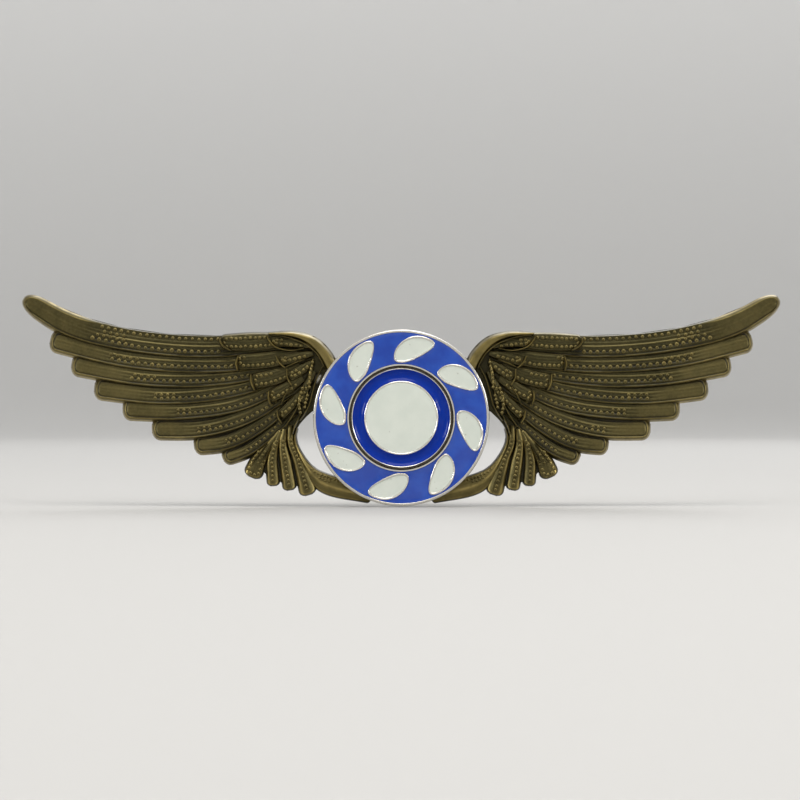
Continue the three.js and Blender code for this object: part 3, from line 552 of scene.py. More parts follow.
tail_shells = []
for number, (end, control) in enumerate(TAIL):
    style = dict(TAIL_STYLE, foot=0.03 + 0.004 * number)
    if number == 4:
        style.update(polish=0.3, ridge_at=0.1)
    shell, base = feather(end, control, convex_relief, style, spacing=0.15, across=30)
    tail_shells.append(shell)
    total = base[0]["length"][-1]
    if number == 0:
        loop = bead_loop(base, TAIL_EDGE_IN, total - 2.3, 1.9, LOOP_PITCH, TAIL_BEAD)
        add_beads(loop, TAIL_BEAD)
        middle_row = bead_row(base, None, total * 0.45, total - 1.7, TAIL_PITCH, SMALL_BEAD)
        add_beads(middle_row, SMALL_BEAD)
    elif number < 4:
        middle_row = bead_row(base, None, total * 0.2, total - 0.5, TAIL_PITCH, TAIL_BEAD)
        add_beads(middle_row, TAIL_BEAD)
    else:
        for row_in, start, stop in ((TAIL_EDGE_IN, 0.4, 0.66), (0.75, 0.5, 0.62)):
            row = bead_row(base, row_in, total * start, total * stop, INNER_PITCH, INNER_BEAD)
            add_beads(row, INNER_BEAD)
for end, control in TAIL_RIDGES:
    shell = feather(end, control, convex_relief, LOW_RIDGE_STYLE, spacing=0.15, across=10)[0]
    tail_shells.append(shell)
wing_piece("tail_feathers", tail_shells)

# %% [markdown]
# The coverts are short feathers with a line of beads that follows the lower edge and turns round
# the tip. The shoulder is a smooth swelling band that hides their roots. Thin ridges run down
# beside the badge, the three widest of them beaded, and a narrow bright ridge caps the raised end
# of each covert. The last cap is the line that follows the shoulder inside its edge.

# %% Coverts and shoulder
COVERT_STYLE = {"top": 1.65, "fall": 0.12, "grooved": 0.6, "rim": 0.35, "barbs": 1.0, "ridge_at": 9.0,
                "draft": 0.3, "polish": 0.0, "edge_dark": 0.6}
SHORT_STYLE = dict(COVERT_STYLE, top=1.83)
SHOULDER_STYLE = dict(COVERT_STYLE, top=2.02, fall=0.35, grooved=0.0, rim=0.2, polish=0.55,
                      barbs=0.0, edge_dark=0.1, draft=0.4)
RIDGE_STYLE = dict(COVERT_STYLE, top=1.92, fall=0.3, grooved=0.0, rim=0.6, ridge_at=0.0, polish=0.4,
                   draft=0.2, barbs=0.0, edge_dark=0.3)
CAP_STYLE = dict(RIDGE_STYLE, top=2.08, rim=1.0, polish=1.0, edge_dark=0.1)

UPPER_RUNS = [4.6, 0.5, 2.2, 0.5, 0.3, 1.3, 0.6, 0.8, 0.3]
COVERT_IN, COVERT_PITCH, COVERT_BEAD = 0.56, 0.52, 0.22
RIDGE_PITCH, RIDGE_BEAD = 0.45, 0.19
BEADED_RIDGE = 0.2
covert_shells = []
groups = [(COVERTS, COVERT_STYLE, 0.05), (SHORT_COVERTS, SHORT_STYLE, 0.07),
          (SHOULDER, SHOULDER_STYLE, 0.09), (INNER_RIDGES, RIDGE_STYLE, 0.1),
          (CAPS, CAP_STYLE, 0.11)]
for table, style, foot in groups:
    for end, control in table:
        style = dict(style, foot=foot)
        thin = table in (INNER_RIDGES, CAPS)
        shell, base = feather(end, control, convex_relief, style, spacing=0.15,
                              across=12 if thin else 34)
        total = base[0]["length"][-1]
        if table is INNER_RIDGES and control[1][2] > BEADED_RIDGE:
            row = bead_row(base, None, 0.3, total - 0.3, RIDGE_PITCH, RIDGE_BEAD)
            add_beads(row, RIDGE_BEAD)
        if table in (COVERTS, SHORT_COVERTS):
            back = UPPER_RUNS[len(covert_shells)]
            loop = bead_loop(base, COVERT_IN, total * 0.25, back, COVERT_PITCH, COVERT_BEAD)
            add_beads(loop, COVERT_BEAD)
        covert_shells.append(shell)
wing_piece("coverts", covert_shells)

bead_shells = domes(np.concatenate(bead_centres), np.concatenate(bead_sizes))
print("beads on each wing:", sum(len(spots) for spots in bead_centres))
wing_piece("wing_beads", [bead_shells])

# %% [markdown]
# ## The ground of the wings
# Behind the feathers the plate is one flat piece of metal. Its outline is the outline of the CAD
# node's back face, so that face is copied and thickened a little, and the hub disc with its hole
# and the low ground round the feather roots stand on it. They end just short of the feathers'
# own backs, so that no two faces lie in the same plane.

# %% Back of the wings, hub and ground
SLAB = 0.3
ROUNDEL_BACK = -1.5
HUB_RADIUS = 8.6
SHANK_HOLE = 2.05
WEB = [(6.2, 5.6), (7.2, 6.5), (8, 7.7), (9.2, 8.6), (11, 8.95), (13.4, 8.95), (15, 6.5), (14.6, 3),
       (13.3, -0.6), (12.6, -1.7), (11.15, -1.6), (11, -1.15), (10.75, -0.7), (10.4, -0.28), (10, 0.14),
       (9.5, 0.6), (8.8, 1.1), (7.6, 1.6)]
TAIL_WEB = [(13.9, -1.2), (11.1, -1.3), (11.24, -1.8), (11.27, -2.3), (11.12, -2.85), (10.9, -3.4),
            (10.55, -4), (10.1, -4.7), (9.6, -5.5), (9.2, -6.2), (8.9, -7.3), (10.6, -7.3), (12.4, -7),
            (14.2, -6.1), (15.2, -5), (16.4, -4)]


def turned(profile, sides=144, **marks):
    """A closed profile of (radius, y) points turned round the badge's axis, with its marks."""
    r, y = np.array(profile, float).T
    angle = np.linspace(0, 2 * np.pi, sides + 1)
    x = r[:, None] * np.cos(angle)
    z = r[:, None] * np.sin(angle)
    points = np.stack([x, np.broadcast_to(y[:, None], x.shape), z], axis=-1)
    return as_sheet(points, **{key: np.array(v)[:, None] if np.ndim(v) else v
                               for key, v in marks.items()})


def prism(outline, back, front, inset=0.1, **marks):
    """A closed upright block on an outline of (x, z) corners, with a narrow slope round its top."""
    loop = np.array(outline + outline[:1], float)
    middle = loop[:-1].mean(axis=0)
    levels = [(0, back), (0, front + inset), (inset, front)]
    rows = []
    for shrink, y in levels:
        toward = middle - loop
        ring = loop + shrink * toward / np.linalg.norm(toward, axis=1)[:, None]
        rows.append(np.stack([ring[:, 0], np.full(len(ring), y), ring[:, 1]], axis=1))
    cap = [np.broadcast_to([middle[0], y, middle[1]], rows[0].shape) for y in (back, front)]
    return as_sheet(np.stack([cap[0], *rows, cap[1]]), **marks)


def back_slab(node, level, thickness):
    """Copy the flat faces of a CAD node that lie at y = level and thicken them towards -Y."""
    source = bmesh.new()
    source.from_mesh(bpy.data.objects[node].data)
    bmesh.ops.remove_doubles(source, verts=source.verts, dist=WELD)
    away = [f for f in source.faces if abs(f.calc_center_median().y / MM - level) > 0.001
            or f.normal.y < 0.99]
    bmesh.ops.delete(source, geom=away, context="FACES")
    grown = bmesh.ops.extrude_face_region(source, geom=source.faces[:])
    moved = [v for v in grown["geom"] if isinstance(v, bmesh.types.BMVert)]
    bmesh.ops.translate(source, verts=moved, vec=(0, -thickness * MM, 0))
    bmesh.ops.recalc_face_normals(source, faces=source.faces)
    mesh = bpy.data.meshes.new("wings_back")
    source.to_mesh(mesh)
    source.free()
    for key, amount in (("recess", 0.3), ("rubbed", 0.0)):
        mark = mesh.attributes.new(key, "FLOAT", "POINT")
        mark.data.foreach_set("value", np.full(len(mesh.vertices), amount, np.float32))
    made = new_object("wings_back", mesh)
    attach(made, "badge")
    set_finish(made, "antique_bronze")
    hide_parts("wings_plate")
    print("wings_back:", len(mesh.polygons), "faces")
    return made


back_slab("wings_plate", WING_BACK, SLAB)
hub = turned([(SHANK_HOLE, WING_BACK - 0.1), (HUB_RADIUS, WING_BACK - 0.1),
              (HUB_RADIUS, ROUNDEL_BACK + 0.08), (HUB_RADIUS - 0.08, ROUNDEL_BACK),
              (SHANK_HOLE, ROUNDEL_BACK), (SHANK_HOLE, WING_BACK - 0.1)], recess=0.5)
webs = [prism(WEB, WING_BACK - 0.12, WING_BACK - 1.1, recess=0.6),
        prism(TAIL_WEB, WING_BACK - 0.14, WING_BACK - 0.75, recess=0.8)]
blocks = [hub] + webs + [mirrored(web) for web in webs]
make_piece("wings_ground", blocks, "badge", "antique_bronze", ["wings_plate"])

# %% [markdown]
# ## The badge
# The badge is a silver-plated brass disc whose front is divided into cells by thin walls, filled
# with glass powder and fired: champleve enamel. The body is turned, so a profile swung round the
# axis gives it, with every metal rim a rounded ridge that catches a thin line of light. The white
# cells are swept blades, all alike, set round the middle.

# %% Badge sizes and the blade outline
BADGE_RADIUS = 9.3
CELL_FLOOR = -2.1
RIM_FRONT = -2.75
ENAMEL_FRONT = -2.7
FIELD_OUT, FIELD_IN = 9.0, 5.7
HOLE = 5.45
BLADES = 8
BLADE_IN, BLADE_OUT = 6.05, 8.65
SWEEP = math.radians(17)
BLADE_HALF = 1.8
BLADE_WALL = 0.25


def blade_side(share, grow):
    """Radius, middle angle and half angle of a blade at a share of the way out, grown by grow mm."""
    radius = blend(share, BLADE_IN - grow, BLADE_OUT + grow)
    ease = np.sqrt(np.clip(share * (1 - share), 0, 1)) * 2
    half = (BLADE_HALF + grow) * ease ** 0.75 * (0.6 + 0.4 * share)
    return radius, SWEEP * share, half / radius


def blade_loop(grow, count=48):
    """Radius and angle (from straight up towards +X) round the whole outline of one blade."""
    share = crowded(count + 1)
    radius, middle, lean = blade_side(share, grow)
    there = np.stack([radius, middle - lean])
    back = np.stack([radius, middle + lean])[:, ::-1]
    return np.concatenate([there, back[:, 1:]], axis=1)


def polar(radius, angle, y):
    """Points at a radius and an angle measured from straight up, at depth y."""
    radius, angle, y = np.broadcast_arrays(radius, angle, y)
    return np.stack([radius * np.sin(angle), y, radius * np.cos(angle)], axis=-1)


# %% Silver body of the badge
rim_round = [(BADGE_RADIUS, ROUNDEL_BACK), (BADGE_RADIUS, RIM_FRONT + 0.16), (9.26, RIM_FRONT + 0.05),
             (9.2, RIM_FRONT + 0.01), (9.14, RIM_FRONT), (9.08, RIM_FRONT + 0.01),
             (9.02, RIM_FRONT + 0.04), (FIELD_OUT, RIM_FRONT + 0.1), (FIELD_OUT, CELL_FLOOR)]
wall_round = [(FIELD_IN, CELL_FLOOR), (FIELD_IN, RIM_FRONT + 0.08), (5.66, RIM_FRONT + 0.02),
              (5.58, RIM_FRONT), (5.5, RIM_FRONT + 0.03), (HOLE, RIM_FRONT + 0.12),
              (HOLE, CELL_FLOOR), (SHANK_HOLE, CELL_FLOOR), (SHANK_HOLE, ROUNDEL_BACK),
              (BADGE_RADIUS, ROUNDEL_BACK)]
profile = rim_round + wall_round
tarnish = [0.2] * 9 + [0.2, 0.1, 0, 0.1, 0.4, 0.9, 1, 1, 0.3, 0.2]
body_shells = [turned(profile, recess=tarnish)]
WALL_SECTION = [(0.0, CELL_FLOOR), (0.0, -2.68), (0.03, -2.74), (0.08, -2.77), (0.17, -2.77),
                (0.22, -2.74), (BLADE_WALL, -2.68), (BLADE_WALL, CELL_FLOOR), (0.0, CELL_FLOOR)]
for number in range(BLADES):
    turn = 2 * math.pi * number / BLADES
    rows = []
    for grow, y in WALL_SECTION:
        radius, angle = blade_loop(grow)
        rows.append(polar(radius, angle + turn, y))
    body_shells.append(as_sheet(np.stack(rows), recess=0.0))
make_piece("badge_body", body_shells, "badge", "silver_plate", ["roundel_body"])

# %% [markdown]
# ## The glass
# Fired glass creeps a little up the metal walls and settles between them, so its surface is never
# quite flat. The blue field is one piece that flows round all the blades. Going round the badge,
# its columns of points cross the gap between two blades, drop to the floor at a blade's edge, run
# along the floor under the blade and climb up again on the other side.

# %% Blue field
CREEP = 0.12


def glass_level(from_wall):
    """Depth of a glass surface that creeps up its walls, at a distance from the nearest one."""
    return ENAMEL_FRONT + 0.035 - 0.04 * np.exp(-from_wall / CREEP)


low_edge, high_edge = BLADE_IN - BLADE_WALL, BLADE_OUT + BLADE_WALL
even = crowded(60)
field_r = np.concatenate([np.linspace(FIELD_IN, low_edge, 5)[:-1], blend(even, low_edge, high_edge),
                          np.linspace(high_edge, FIELD_OUT, 5)[1:]])
share = np.clip((field_r - low_edge) / (high_edge - low_edge), 0, 1)
_, middle, lean = blade_side(share, BLADE_WALL)
SPAN = 2 * math.pi / BLADES
gap = crowded(36)
gap_angle = blend(gap, (middle + lean)[:, None], (middle - lean + SPAN)[:, None])
r2 = np.broadcast_to(field_r[:, None], gap_angle.shape)
to_rim = np.minimum(r2 - FIELD_IN, FIELD_OUT - r2)
to_blade = np.minimum(gap, 1 - gap) * (SPAN - 2 * lean)[:, None] * r2
to_blade = to_blade + np.where(lean > 0, 0, 1)[:, None]
gap_y = glass_level(np.minimum(to_rim, to_blade))
floor_y = np.where(lean > 0, CELL_FLOOR - 0.02, gap_y[:, 0])[:, None]
angles, levels = [], []
for number in range(BLADES):
    under = np.stack([middle - lean, middle + lean], axis=1) + SPAN * (number + 1)
    angles += [gap_angle + SPAN * number, under]
    levels += [gap_y, np.repeat(floor_y, 2, axis=1)]
angles = np.concatenate(angles + [gap_angle[:, :1]], axis=1)
levels = np.concatenate(levels + [gap_y[:, :1]], axis=1)
top = polar(field_r[:, None], angles, levels)
under = top[[0, -1]] * [1, 0, 1] + [0, CELL_FLOOR, 0]
field = as_sheet(np.concatenate([under[:1], top, under[1:], under[:1]]))
make_piece("blue_field", [field], "badge", "blue_enamel", ["field_enamel"], smooth=60)

# %% White blades
radius, middle, lean = blade_side(even, 0)
across = 2 * crowded(30) - 1
blade_angle = middle[:, None] + across * lean[:, None]
to_wall = (1 - np.abs(across)) * (lean * radius)[:, None]
ends = np.minimum(even, 1 - even)[:, None] * (BLADE_OUT - BLADE_IN)
blade_y = glass_level(np.minimum(to_wall, ends)) - 0.012
for number in range(BLADES):
    turn = SPAN * number
    top = polar(radius[:, None], blade_angle + turn, blade_y)
    under = top[:, [0, -1]] * [1, 0, 1] + [0, CELL_FLOOR, 0]
    shell = np.concatenate([under[:, :1], top, under[:, 1:], under[:, :1]], axis=1)
    make_piece(f"white_blade_{number + 1}", [as_sheet(shell)], "badge", "white_enamel",
               [f"blade_enamel_{number + 1}"], smooth=60)

# %% [markdown]
# ## The raised button
# In the middle stands a button of the same plated metal, riveted through the badge. It has two
# round rims, a dished ring of blue glass between them and a white disc inside. All of it is
# turned work, so each part is a profile swung round the axis.

# %% Button, ring and centre
BUTTON_FLOOR = -2.5
BUTTON_FRONT = -3.2
BUTTON_RADIUS = 5.23
RING_OUT, RING_IN = 5.11, 3.9
CENTRE_RADIUS = 3.7
button_profile = [(0, -0.9), (1.92, -0.9), (2.0, -0.98), (2.0, CELL_FLOOR), (5.17, CELL_FLOOR),
                  (BUTTON_RADIUS, -2.16), (BUTTON_RADIUS, -3.1), (5.22, -3.16), (5.18, BUTTON_FRONT),
                  (5.14, -3.19), (RING_OUT, -3.15), (RING_OUT, BUTTON_FLOOR),
                  (RING_IN, BUTTON_FLOOR), (RING_IN, -3.12), (3.88, -3.17), (3.83, BUTTON_FRONT),
                  (3.78, BUTTON_FRONT), (3.73, -3.18), (CENTRE_RADIUS, -3.13),
                  (CENTRE_RADIUS, BUTTON_FLOOR), (0, BUTTON_FLOOR)]
button_tarnish = [0.2] * 5 + [1, 0.9, 0.5, 0.25, 0.1] + [0] * 11
button = [turned(button_profile, recess=button_tarnish)]
make_piece("button_metal", button, "badge", "silver_plate", ["button_body"])

dish = np.linspace(-1, 1, 40)
ring_top = [(4.505 + 0.605 * x, -3.14 + 0.3 * (1 - x * x) ** 0.8) for x in dish]
ring = [(RING_OUT, BUTTON_FLOOR)] + ring_top[::-1] + [(RING_IN, BUTTON_FLOOR),
                                                      (RING_OUT, BUTTON_FLOOR)]
ring = make_piece("blue_ring", [turned(ring)], "badge", "blue_enamel", ["ring_enamel"], smooth=60)

reach = CENTRE_RADIUS * np.sin(np.linspace(0, np.pi / 2, 40))
centre_top = [(r, -3.17 - 0.06 * (1 - (r / CENTRE_RADIUS) ** 2)
               - 0.02 * math.exp((r - CENTRE_RADIUS) / 0.1)) for r in reach]
centre = [turned(centre_top + [(CENTRE_RADIUS, BUTTON_FLOOR), (0, BUTTON_FLOOR)])]
make_piece("white_centre", centre, "badge", "white_enamel", ["centre_enamel"], smooth=60)

# %% [markdown]
# ## Solder beside the badge
# A little run of solder shows at the upper left of the badge, where the joint was filled too
# generously. Molten solder pulls into a smooth lump, so a squashed half ball with a few soft
# swellings is enough.

# %% Solder lump
def lump(middle, sizes, turn, swell):
    """A closed lumpy ellipsoid; sizes are its half axes and swell the height of its swellings."""
    polar_angle = np.linspace(0, np.pi, 25)[:, None]
    round_angle = np.linspace(0, 2 * np.pi, 41)[None]
    r = 1 + swell * np.sin(3 * round_angle + 1) * np.sin(polar_angle) ** 2
    r = r + swell * np.cos(4 * polar_angle) * np.sin(polar_angle)
    a = r * np.sin(polar_angle) * np.cos(round_angle) * sizes[0]
    b = r * np.sin(polar_angle) * np.sin(round_angle) * sizes[1]
    y = -r * np.cos(polar_angle) * sizes[2] + np.zeros_like(round_angle)
    x = middle[0] + a * math.cos(turn) - b * math.sin(turn)
    z = middle[2] + a * math.sin(turn) + b * math.cos(turn)
    return np.stack([x, middle[1] + y, z], axis=-1)


low, high = (np.array(corner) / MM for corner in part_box("solder_bead"))
middle = (low + high) / 2
solder_turn = math.atan2(middle[2], middle[0])
LUMP_SIZES, LUMP_SWELL = (0.36, 0.58, 0.42), 0.06
lump_middle = (middle[0], low[1] + LUMP_SIZES[2], middle[2])
solder_lump = as_sheet(lump(lump_middle, LUMP_SIZES, solder_turn, LUMP_SWELL))
make_piece("solder_run", [solder_lump], "badge", "solder", ["solder_bead"])
print("solder lump between", low.round(2), "and", high.round(2))

# %% [markdown]
# ## The pin on the back
# Behind, the wings carry a soldered round disc, a little fork that holds the pin stem on a rivet,
# and a catch with a turning barrel that locks the stem's point. The stamped and milled parts keep
# the CAD shapes: each is copied and its hard edges are broken with a small bevel, as tumbling
# does to real findings. The CAD's own meshes stay as they are.

# %% Softened copies of the stamped parts
def softened(name, node, body, slot, width):
    """A copy of a CAD node whose corners are rounded by width mm."""
    made = new_object(name, bpy.data.objects[node].data.copy())
    made.data.materials.clear()
    work = bmesh.new()
    work.from_mesh(made.data)
    bmesh.ops.remove_doubles(work, verts=work.verts, dist=WELD)
    bmesh.ops.dissolve_limit(work, angle_limit=math.radians(1), verts=work.verts,
                             edges=work.edges)
    work.to_mesh(made.data)
    work.free()
    bevel = made.modifiers.new("broken edges", "BEVEL")
    bevel.width = width * MM
    bevel.segments = 2
    bevel.limit_method = "ANGLE"
    bevel.angle_limit = math.radians(50)
    bevel.harden_normals = True
    made.data.shade_smooth()
    made.data.set_sharp_from_angle(angle=math.radians(40))
    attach(made, body)
    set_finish(made, slot)
    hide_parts(node)
    print(f"{name}: {len(made.data.polygons)} faces before its bevel")
    return made


SOFTENED = [("hinge_fork", "hinge_bracket", "badge", "plain_brass", 0.1),
            ("catch_housing", "catch_body", "badge", "plain_brass", 0.08),
            ("safety_barrel", "catch_barrel", "barrel", "plain_brass", 0.06),
            ("backing_disc", "back_plate", "badge", "antique_bronze", 0.1),
            ("hinge_solder_fillet", "hinge_solder", "badge", "solder", 0.1),
            ("catch_solder_fillet", "catch_solder", "badge", "solder", 0.1)]
for row in SOFTENED:
    softened(*row)

# %% [markdown]
# The rivet is turned, with low domed heads. The stem is drawn steel wire: a flattened eye with a
# hole for the rivet, and a wire that ends in a long fine point.

# %% Rivet and stem
STEM_Y, STEM_Z = 2.7, 3.0
HINGE_X = -17.0


def about_z(profile, x, y, z, sides=64):
    """A closed profile of (radius, height) points turned round an upright axis through x, y, z."""
    r, h = np.array(profile, float).T
    angle = np.linspace(0, 2 * np.pi, sides + 1)
    return as_sheet(np.stack([x + r[:, None] * np.cos(angle), y + r[:, None] * np.sin(angle),
                              z + np.broadcast_to(h[:, None], (len(h), sides + 1))], axis=-1))


low, high = (np.array(corner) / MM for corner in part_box("hinge_rivet"))
tall = (high[2] - low[2]) / 2
RIVET_RADIUS, HEAD_RADIUS, HEAD_TALL, HEAD_EDGE = 0.5, 0.85, 0.3, 0.12
dome_angle = np.linspace(0, np.pi / 2, 8)
head = [(HEAD_RADIUS * math.cos(a), tall - HEAD_TALL + HEAD_EDGE + 0.18 * math.sin(a))
        for a in dome_angle]
rivet_top = [(RIVET_RADIUS, tall - HEAD_TALL), (HEAD_RADIUS, tall - HEAD_TALL)]
rivet_top += head[:-1] + [(0, tall)]
rivet_profile = [(r, -h) for r, h in reversed(rivet_top)] + rivet_top
rivet = [about_z(rivet_profile, HINGE_X, STEM_Y, STEM_Z)]
make_piece("rivet", rivet, "badge", "plain_brass", ["hinge_rivet"], smooth=50)

EYE_R, EYE_HALF, EYE_HOLE = 1.1, 0.6, 0.56
eye_profile = [(EYE_HOLE, -EYE_HALF + 0.06), (EYE_HOLE + 0.06, -EYE_HALF), (EYE_R - 0.14, -EYE_HALF),
               (EYE_R - 0.04, -EYE_HALF + 0.04), (EYE_R, -EYE_HALF + 0.14),
               (EYE_R, EYE_HALF - 0.14), (EYE_R - 0.04, EYE_HALF - 0.04), (EYE_R - 0.14, EYE_HALF),
               (EYE_HOLE + 0.06, EYE_HALF), (EYE_HOLE, EYE_HALF - 0.06),
               (EYE_HOLE, -EYE_HALF + 0.06)]
eye = about_z(eye_profile, HINGE_X, STEM_Y, STEM_Z)
WIRE_R, POINT, TIP_X = 0.4, 4.0, 20.0
WIRE_SIDES, FLARE = 32, 0.35
root_x = HINGE_X + 0.8
wire_x = np.concatenate([[root_x], np.linspace(root_x, TIP_X - POINT, 30),
                         TIP_X - POINT + POINT * np.linspace(0, 1, 16)[1:]])
to_tip = np.clip((TIP_X - wire_x) / POINT, 0, 1)
wire_r = WIRE_R * (1 - (1 - to_tip) ** 1.8)
wire_r[0] = 0
flare = 1 + FLARE * np.exp(-(wire_x - HINGE_X - 0.8) / 0.5)
turn = np.linspace(0, 2 * np.pi, WIRE_SIDES + 1)
wire = np.stack([np.broadcast_to(wire_x[:, None], (len(wire_x), WIRE_SIDES + 1)),
                 STEM_Y + wire_r[:, None] * np.cos(turn),
                 STEM_Z + (wire_r * np.minimum(flare, 1 + FLARE))[:, None] * np.sin(turn)], axis=-1)
make_piece("pin_wire", [eye, as_sheet(wire)], "stem", "plated_steel", ["pin_stem"], smooth=50)

# %% [markdown]
# ## Materials
# Colours are chosen as sRGB hex values and turned to linear light, which is what shaders mix. One
# helper adds a node and wires it. Pattern sizes are real millimetres: Object coordinates are in
# metres, so a noise scale of 1000 / size gives grains of that size.

# %% Material helpers
def linear(hex_colour):
    """An sRGB hex colour as linear red, green, blue and alpha."""
    c = np.array([int(hex_colour[i:i + 2], 16) for i in (1, 3, 5)]) / 255
    c = np.where(c <= 0.04045, c / 12.92, ((c + 0.055) / 1.055) ** 2.4)
    return (*c.tolist(), 1.0)


def add(tree, kind, inputs=(), **settings):
    """Add a shader node; inputs are (socket, value) pairs and a value may be another's output."""
    made = tree.nodes.new(kind)
    for key, value in settings.items():
        setattr(made, key, value)
    for socket, value in inputs:
        if isinstance(value, bpy.types.NodeSocket):
            tree.links.new(value, made.inputs[socket])
        else:
            made.inputs[socket].default_value = value
    return made


def mixed(tree, amount, before, after):
    """Colour that goes from before to after; each may be a hex colour or a node's output."""
    colours = [linear(c) if isinstance(c, str) else c for c in (before, after)]
    node = add(tree, "ShaderNodeMix", [(0, amount), (6, colours[0]), (7, colours[1])],
               data_type="RGBA")
    return node.outputs[2]


def ranged(tree, value, low, high, to_low, to_high):
    """A value mapped smoothly from one range to another and held inside it."""
    node = add(tree, "ShaderNodeMapRange", [(0, value), (1, low), (2, high), (3, to_low),
                                            (4, to_high)], interpolation_type="SMOOTHSTEP")
    return node.outputs[0]


def noise(tree, size, detail=4.0, stretch=(1, 1, 1)):
    """Noise with grains of size mm in Object coordinates, stretched by three factors."""
    coords = add(tree, "ShaderNodeTexCoord").outputs["Object"]
    scale = [1000 / (size * s) for s in stretch]
    placed = add(tree, "ShaderNodeMapping", [("Vector", coords), ("Scale", scale)])
    node = add(tree, "ShaderNodeTexNoise", [("Vector", placed.outputs[0]), ("Scale", 1.0),
                                            ("Detail", detail)])
    return node.outputs[0]


def maths(tree, operation, a, b=0.0):
    """One arithmetic step on two values, held between 0 and 1 for sums."""
    node = add(tree, "ShaderNodeMath", [(0, a), (1, b)], operation=operation)
    node.use_clamp = operation == "ADD"
    return node.outputs[0]


def bump(tree, height, depth):
    """A normal pushed about by a height between 0 and 1 that stands for depth mm."""
    node = add(tree, "ShaderNodeBump", [("Height", height), ("Distance", depth * MM),
                                        ("Strength", 1.0)])
    return node.outputs[0]


def mark(tree, name):
    """The value of one of the marks that the meshes carry."""
    return add(tree, "ShaderNodeAttribute", attribute_name=name).outputs["Fac"]


def metal(skin, rough, normal, metallic=1.0):
    """Shader settings of a metal."""
    return [("Base Color", skin), ("Metallic", metallic), ("Roughness", rough), ("Normal", normal)]


def material(name, build):
    """A new material whose build(tree) returns the settings of its one Principled shader."""
    made = bpy.data.materials.new(name)
    made.use_nodes = True
    tree = made.node_tree
    tree.nodes.clear()
    shader = add(tree, "ShaderNodeBsdfPrincipled", build(tree))
    add(tree, "ShaderNodeOutputMaterial", [(0, shader.outputs[0])])
    print("material:", name, len(tree.nodes), "nodes")
    return made

# %% [markdown]
# ### Antique bronze
# The wings are brass that was darkened chemically and then rubbed. The eye reads three things: an
# olive brown skin that varies softly from place to place, near-black left in the grooves and round
# the beads, and warm bright metal on the crests. The meshes carry where is which, in two marks
# called recess and rubbed, so the finish follows the relief exactly. On
# the beads the marks also carry painted light: a painted highlight ring round each dome and a
# painted dark top.

# %% Antique bronze
def antique_bronze(tree):
    """Clouded olive brown, bright where rubbed and on painted highlights, nearly black where recessed
    and on painted shade.
    """
    cloud = ranged(tree, noise(tree, 5.0, 5.0), 0.3, 0.7, 0.0, 1.0)
    grain = noise(tree, 0.25, 3.0)
    skin = mixed(tree, cloud, "#3e3a24", "#504a2f")
    skin = mixed(tree, ranged(tree, grain, 0.35, 0.75, 0.0, 0.3), skin, "#665e3c")
    uneven = ranged(tree, noise(tree, 1.2), 0.3, 0.6, 0.45, 1.0)
    # The bright mix is rubbed metal on the crests together with the painted highlight rings of the
    # beads.
    worn_and_highlight = maths(tree, "MULTIPLY", mark(tree, "rubbed"), uneven)
    skin = mixed(tree, maths(tree, "MULTIPLY", worn_and_highlight, 0.85), skin, "#a8955b")
    uneven = ranged(tree, noise(tree, 0.8), 0.3, 0.6, 0.6, 1.0)
    # The dark mix is patina in the hollows together with the painted shade on the bead tops.
    dark = maths(tree, "MULTIPLY", mark(tree, "recess"), uneven)
    skin = mixed(tree, maths(tree, "MULTIPLY", dark, 0.85), skin, "#171613")
    rough = ranged(tree, worn_and_highlight, 0.0, 1.0, 0.42, 0.3)
    metallic = ranged(tree, dark, 0.3, 1.0, 0.95, 0.6)
    return metal(skin, rough, bump(tree, grain, 0.006), metallic)


bronze = material("antique bronze", antique_bronze)

# %% [markdown]
# ### Silver plate, brass, steel and solder
# Silver plate is nearly white and soft to the light, with warm tarnish where a cloth can't reach.
# Plain brass is yellow with brown clouds. Nickel-plated steel is greyer and has fine lines along
# the wire. Solder is dull grey with a frosty grain.

# %% Other metals
def silver_plate(tree):
    """Nearly white, with pale clouds, tarnish in the recesses and faint scratches."""
    cloud = ranged(tree, noise(tree, 1.5, 5.0), 0.35, 0.7, 0.0, 1.0)
    skin = mixed(tree, maths(tree, "MULTIPLY", cloud, 0.35), "#f1eee7", "#d3cbb9")
    skin = mixed(tree, mark(tree, "recess"), skin, "#575144")
    scratches = noise(tree, 0.12, 2.0, (1, 1, 8))
    rough = ranged(tree, cloud, 0.0, 1.0, 0.16, 0.3)
    return metal(skin, rough, bump(tree, scratches, 0.002))


def plain_brass(tree):
    """Yellow brass with brown clouds, duller where it is browner."""
    cloud = ranged(tree, noise(tree, 2.0, 5.0), 0.35, 0.7, 0.0, 1.0)
    skin = mixed(tree, cloud, "#b89c66", "#85704a")
    rough = ranged(tree, cloud, 0.0, 1.0, 0.24, 0.4)
    return metal(skin, rough, bump(tree, noise(tree, 0.15, 2.0), 0.002))


def plated_steel(tree):
    """Grey plating with fine drawn lines along the wire."""
    lines = noise(tree, 0.1, 2.0, (30, 1, 1))
    cloud = ranged(tree, noise(tree, 1.5), 0.4, 0.7, 0.0, 1.0)
    skin = mixed(tree, cloud, "#c6c5c0", "#9b9890")
    rough = ranged(tree, lines, 0.3, 0.7, 0.2, 0.27)
    return metal(skin, rough, bump(tree, lines, 0.0006))


def solder_metal(tree):
    """Dull grey with a frosty grain."""
    frost = noise(tree, 0.2, 4.0)
    skin = mixed(tree, ranged(tree, frost, 0.35, 0.65, 0.0, 1.0), "#b9b6ad", "#807c73")
    rough = ranged(tree, frost, 0.3, 0.7, 0.3, 0.5)
    return metal(skin, rough, bump(tree, frost, 0.006), 0.9)


silver = material("silver plate", silver_plate)
brass = material("plain brass", plain_brass)
steel = material("nickel plated steel", plated_steel)
solder = material("solder", solder_metal)
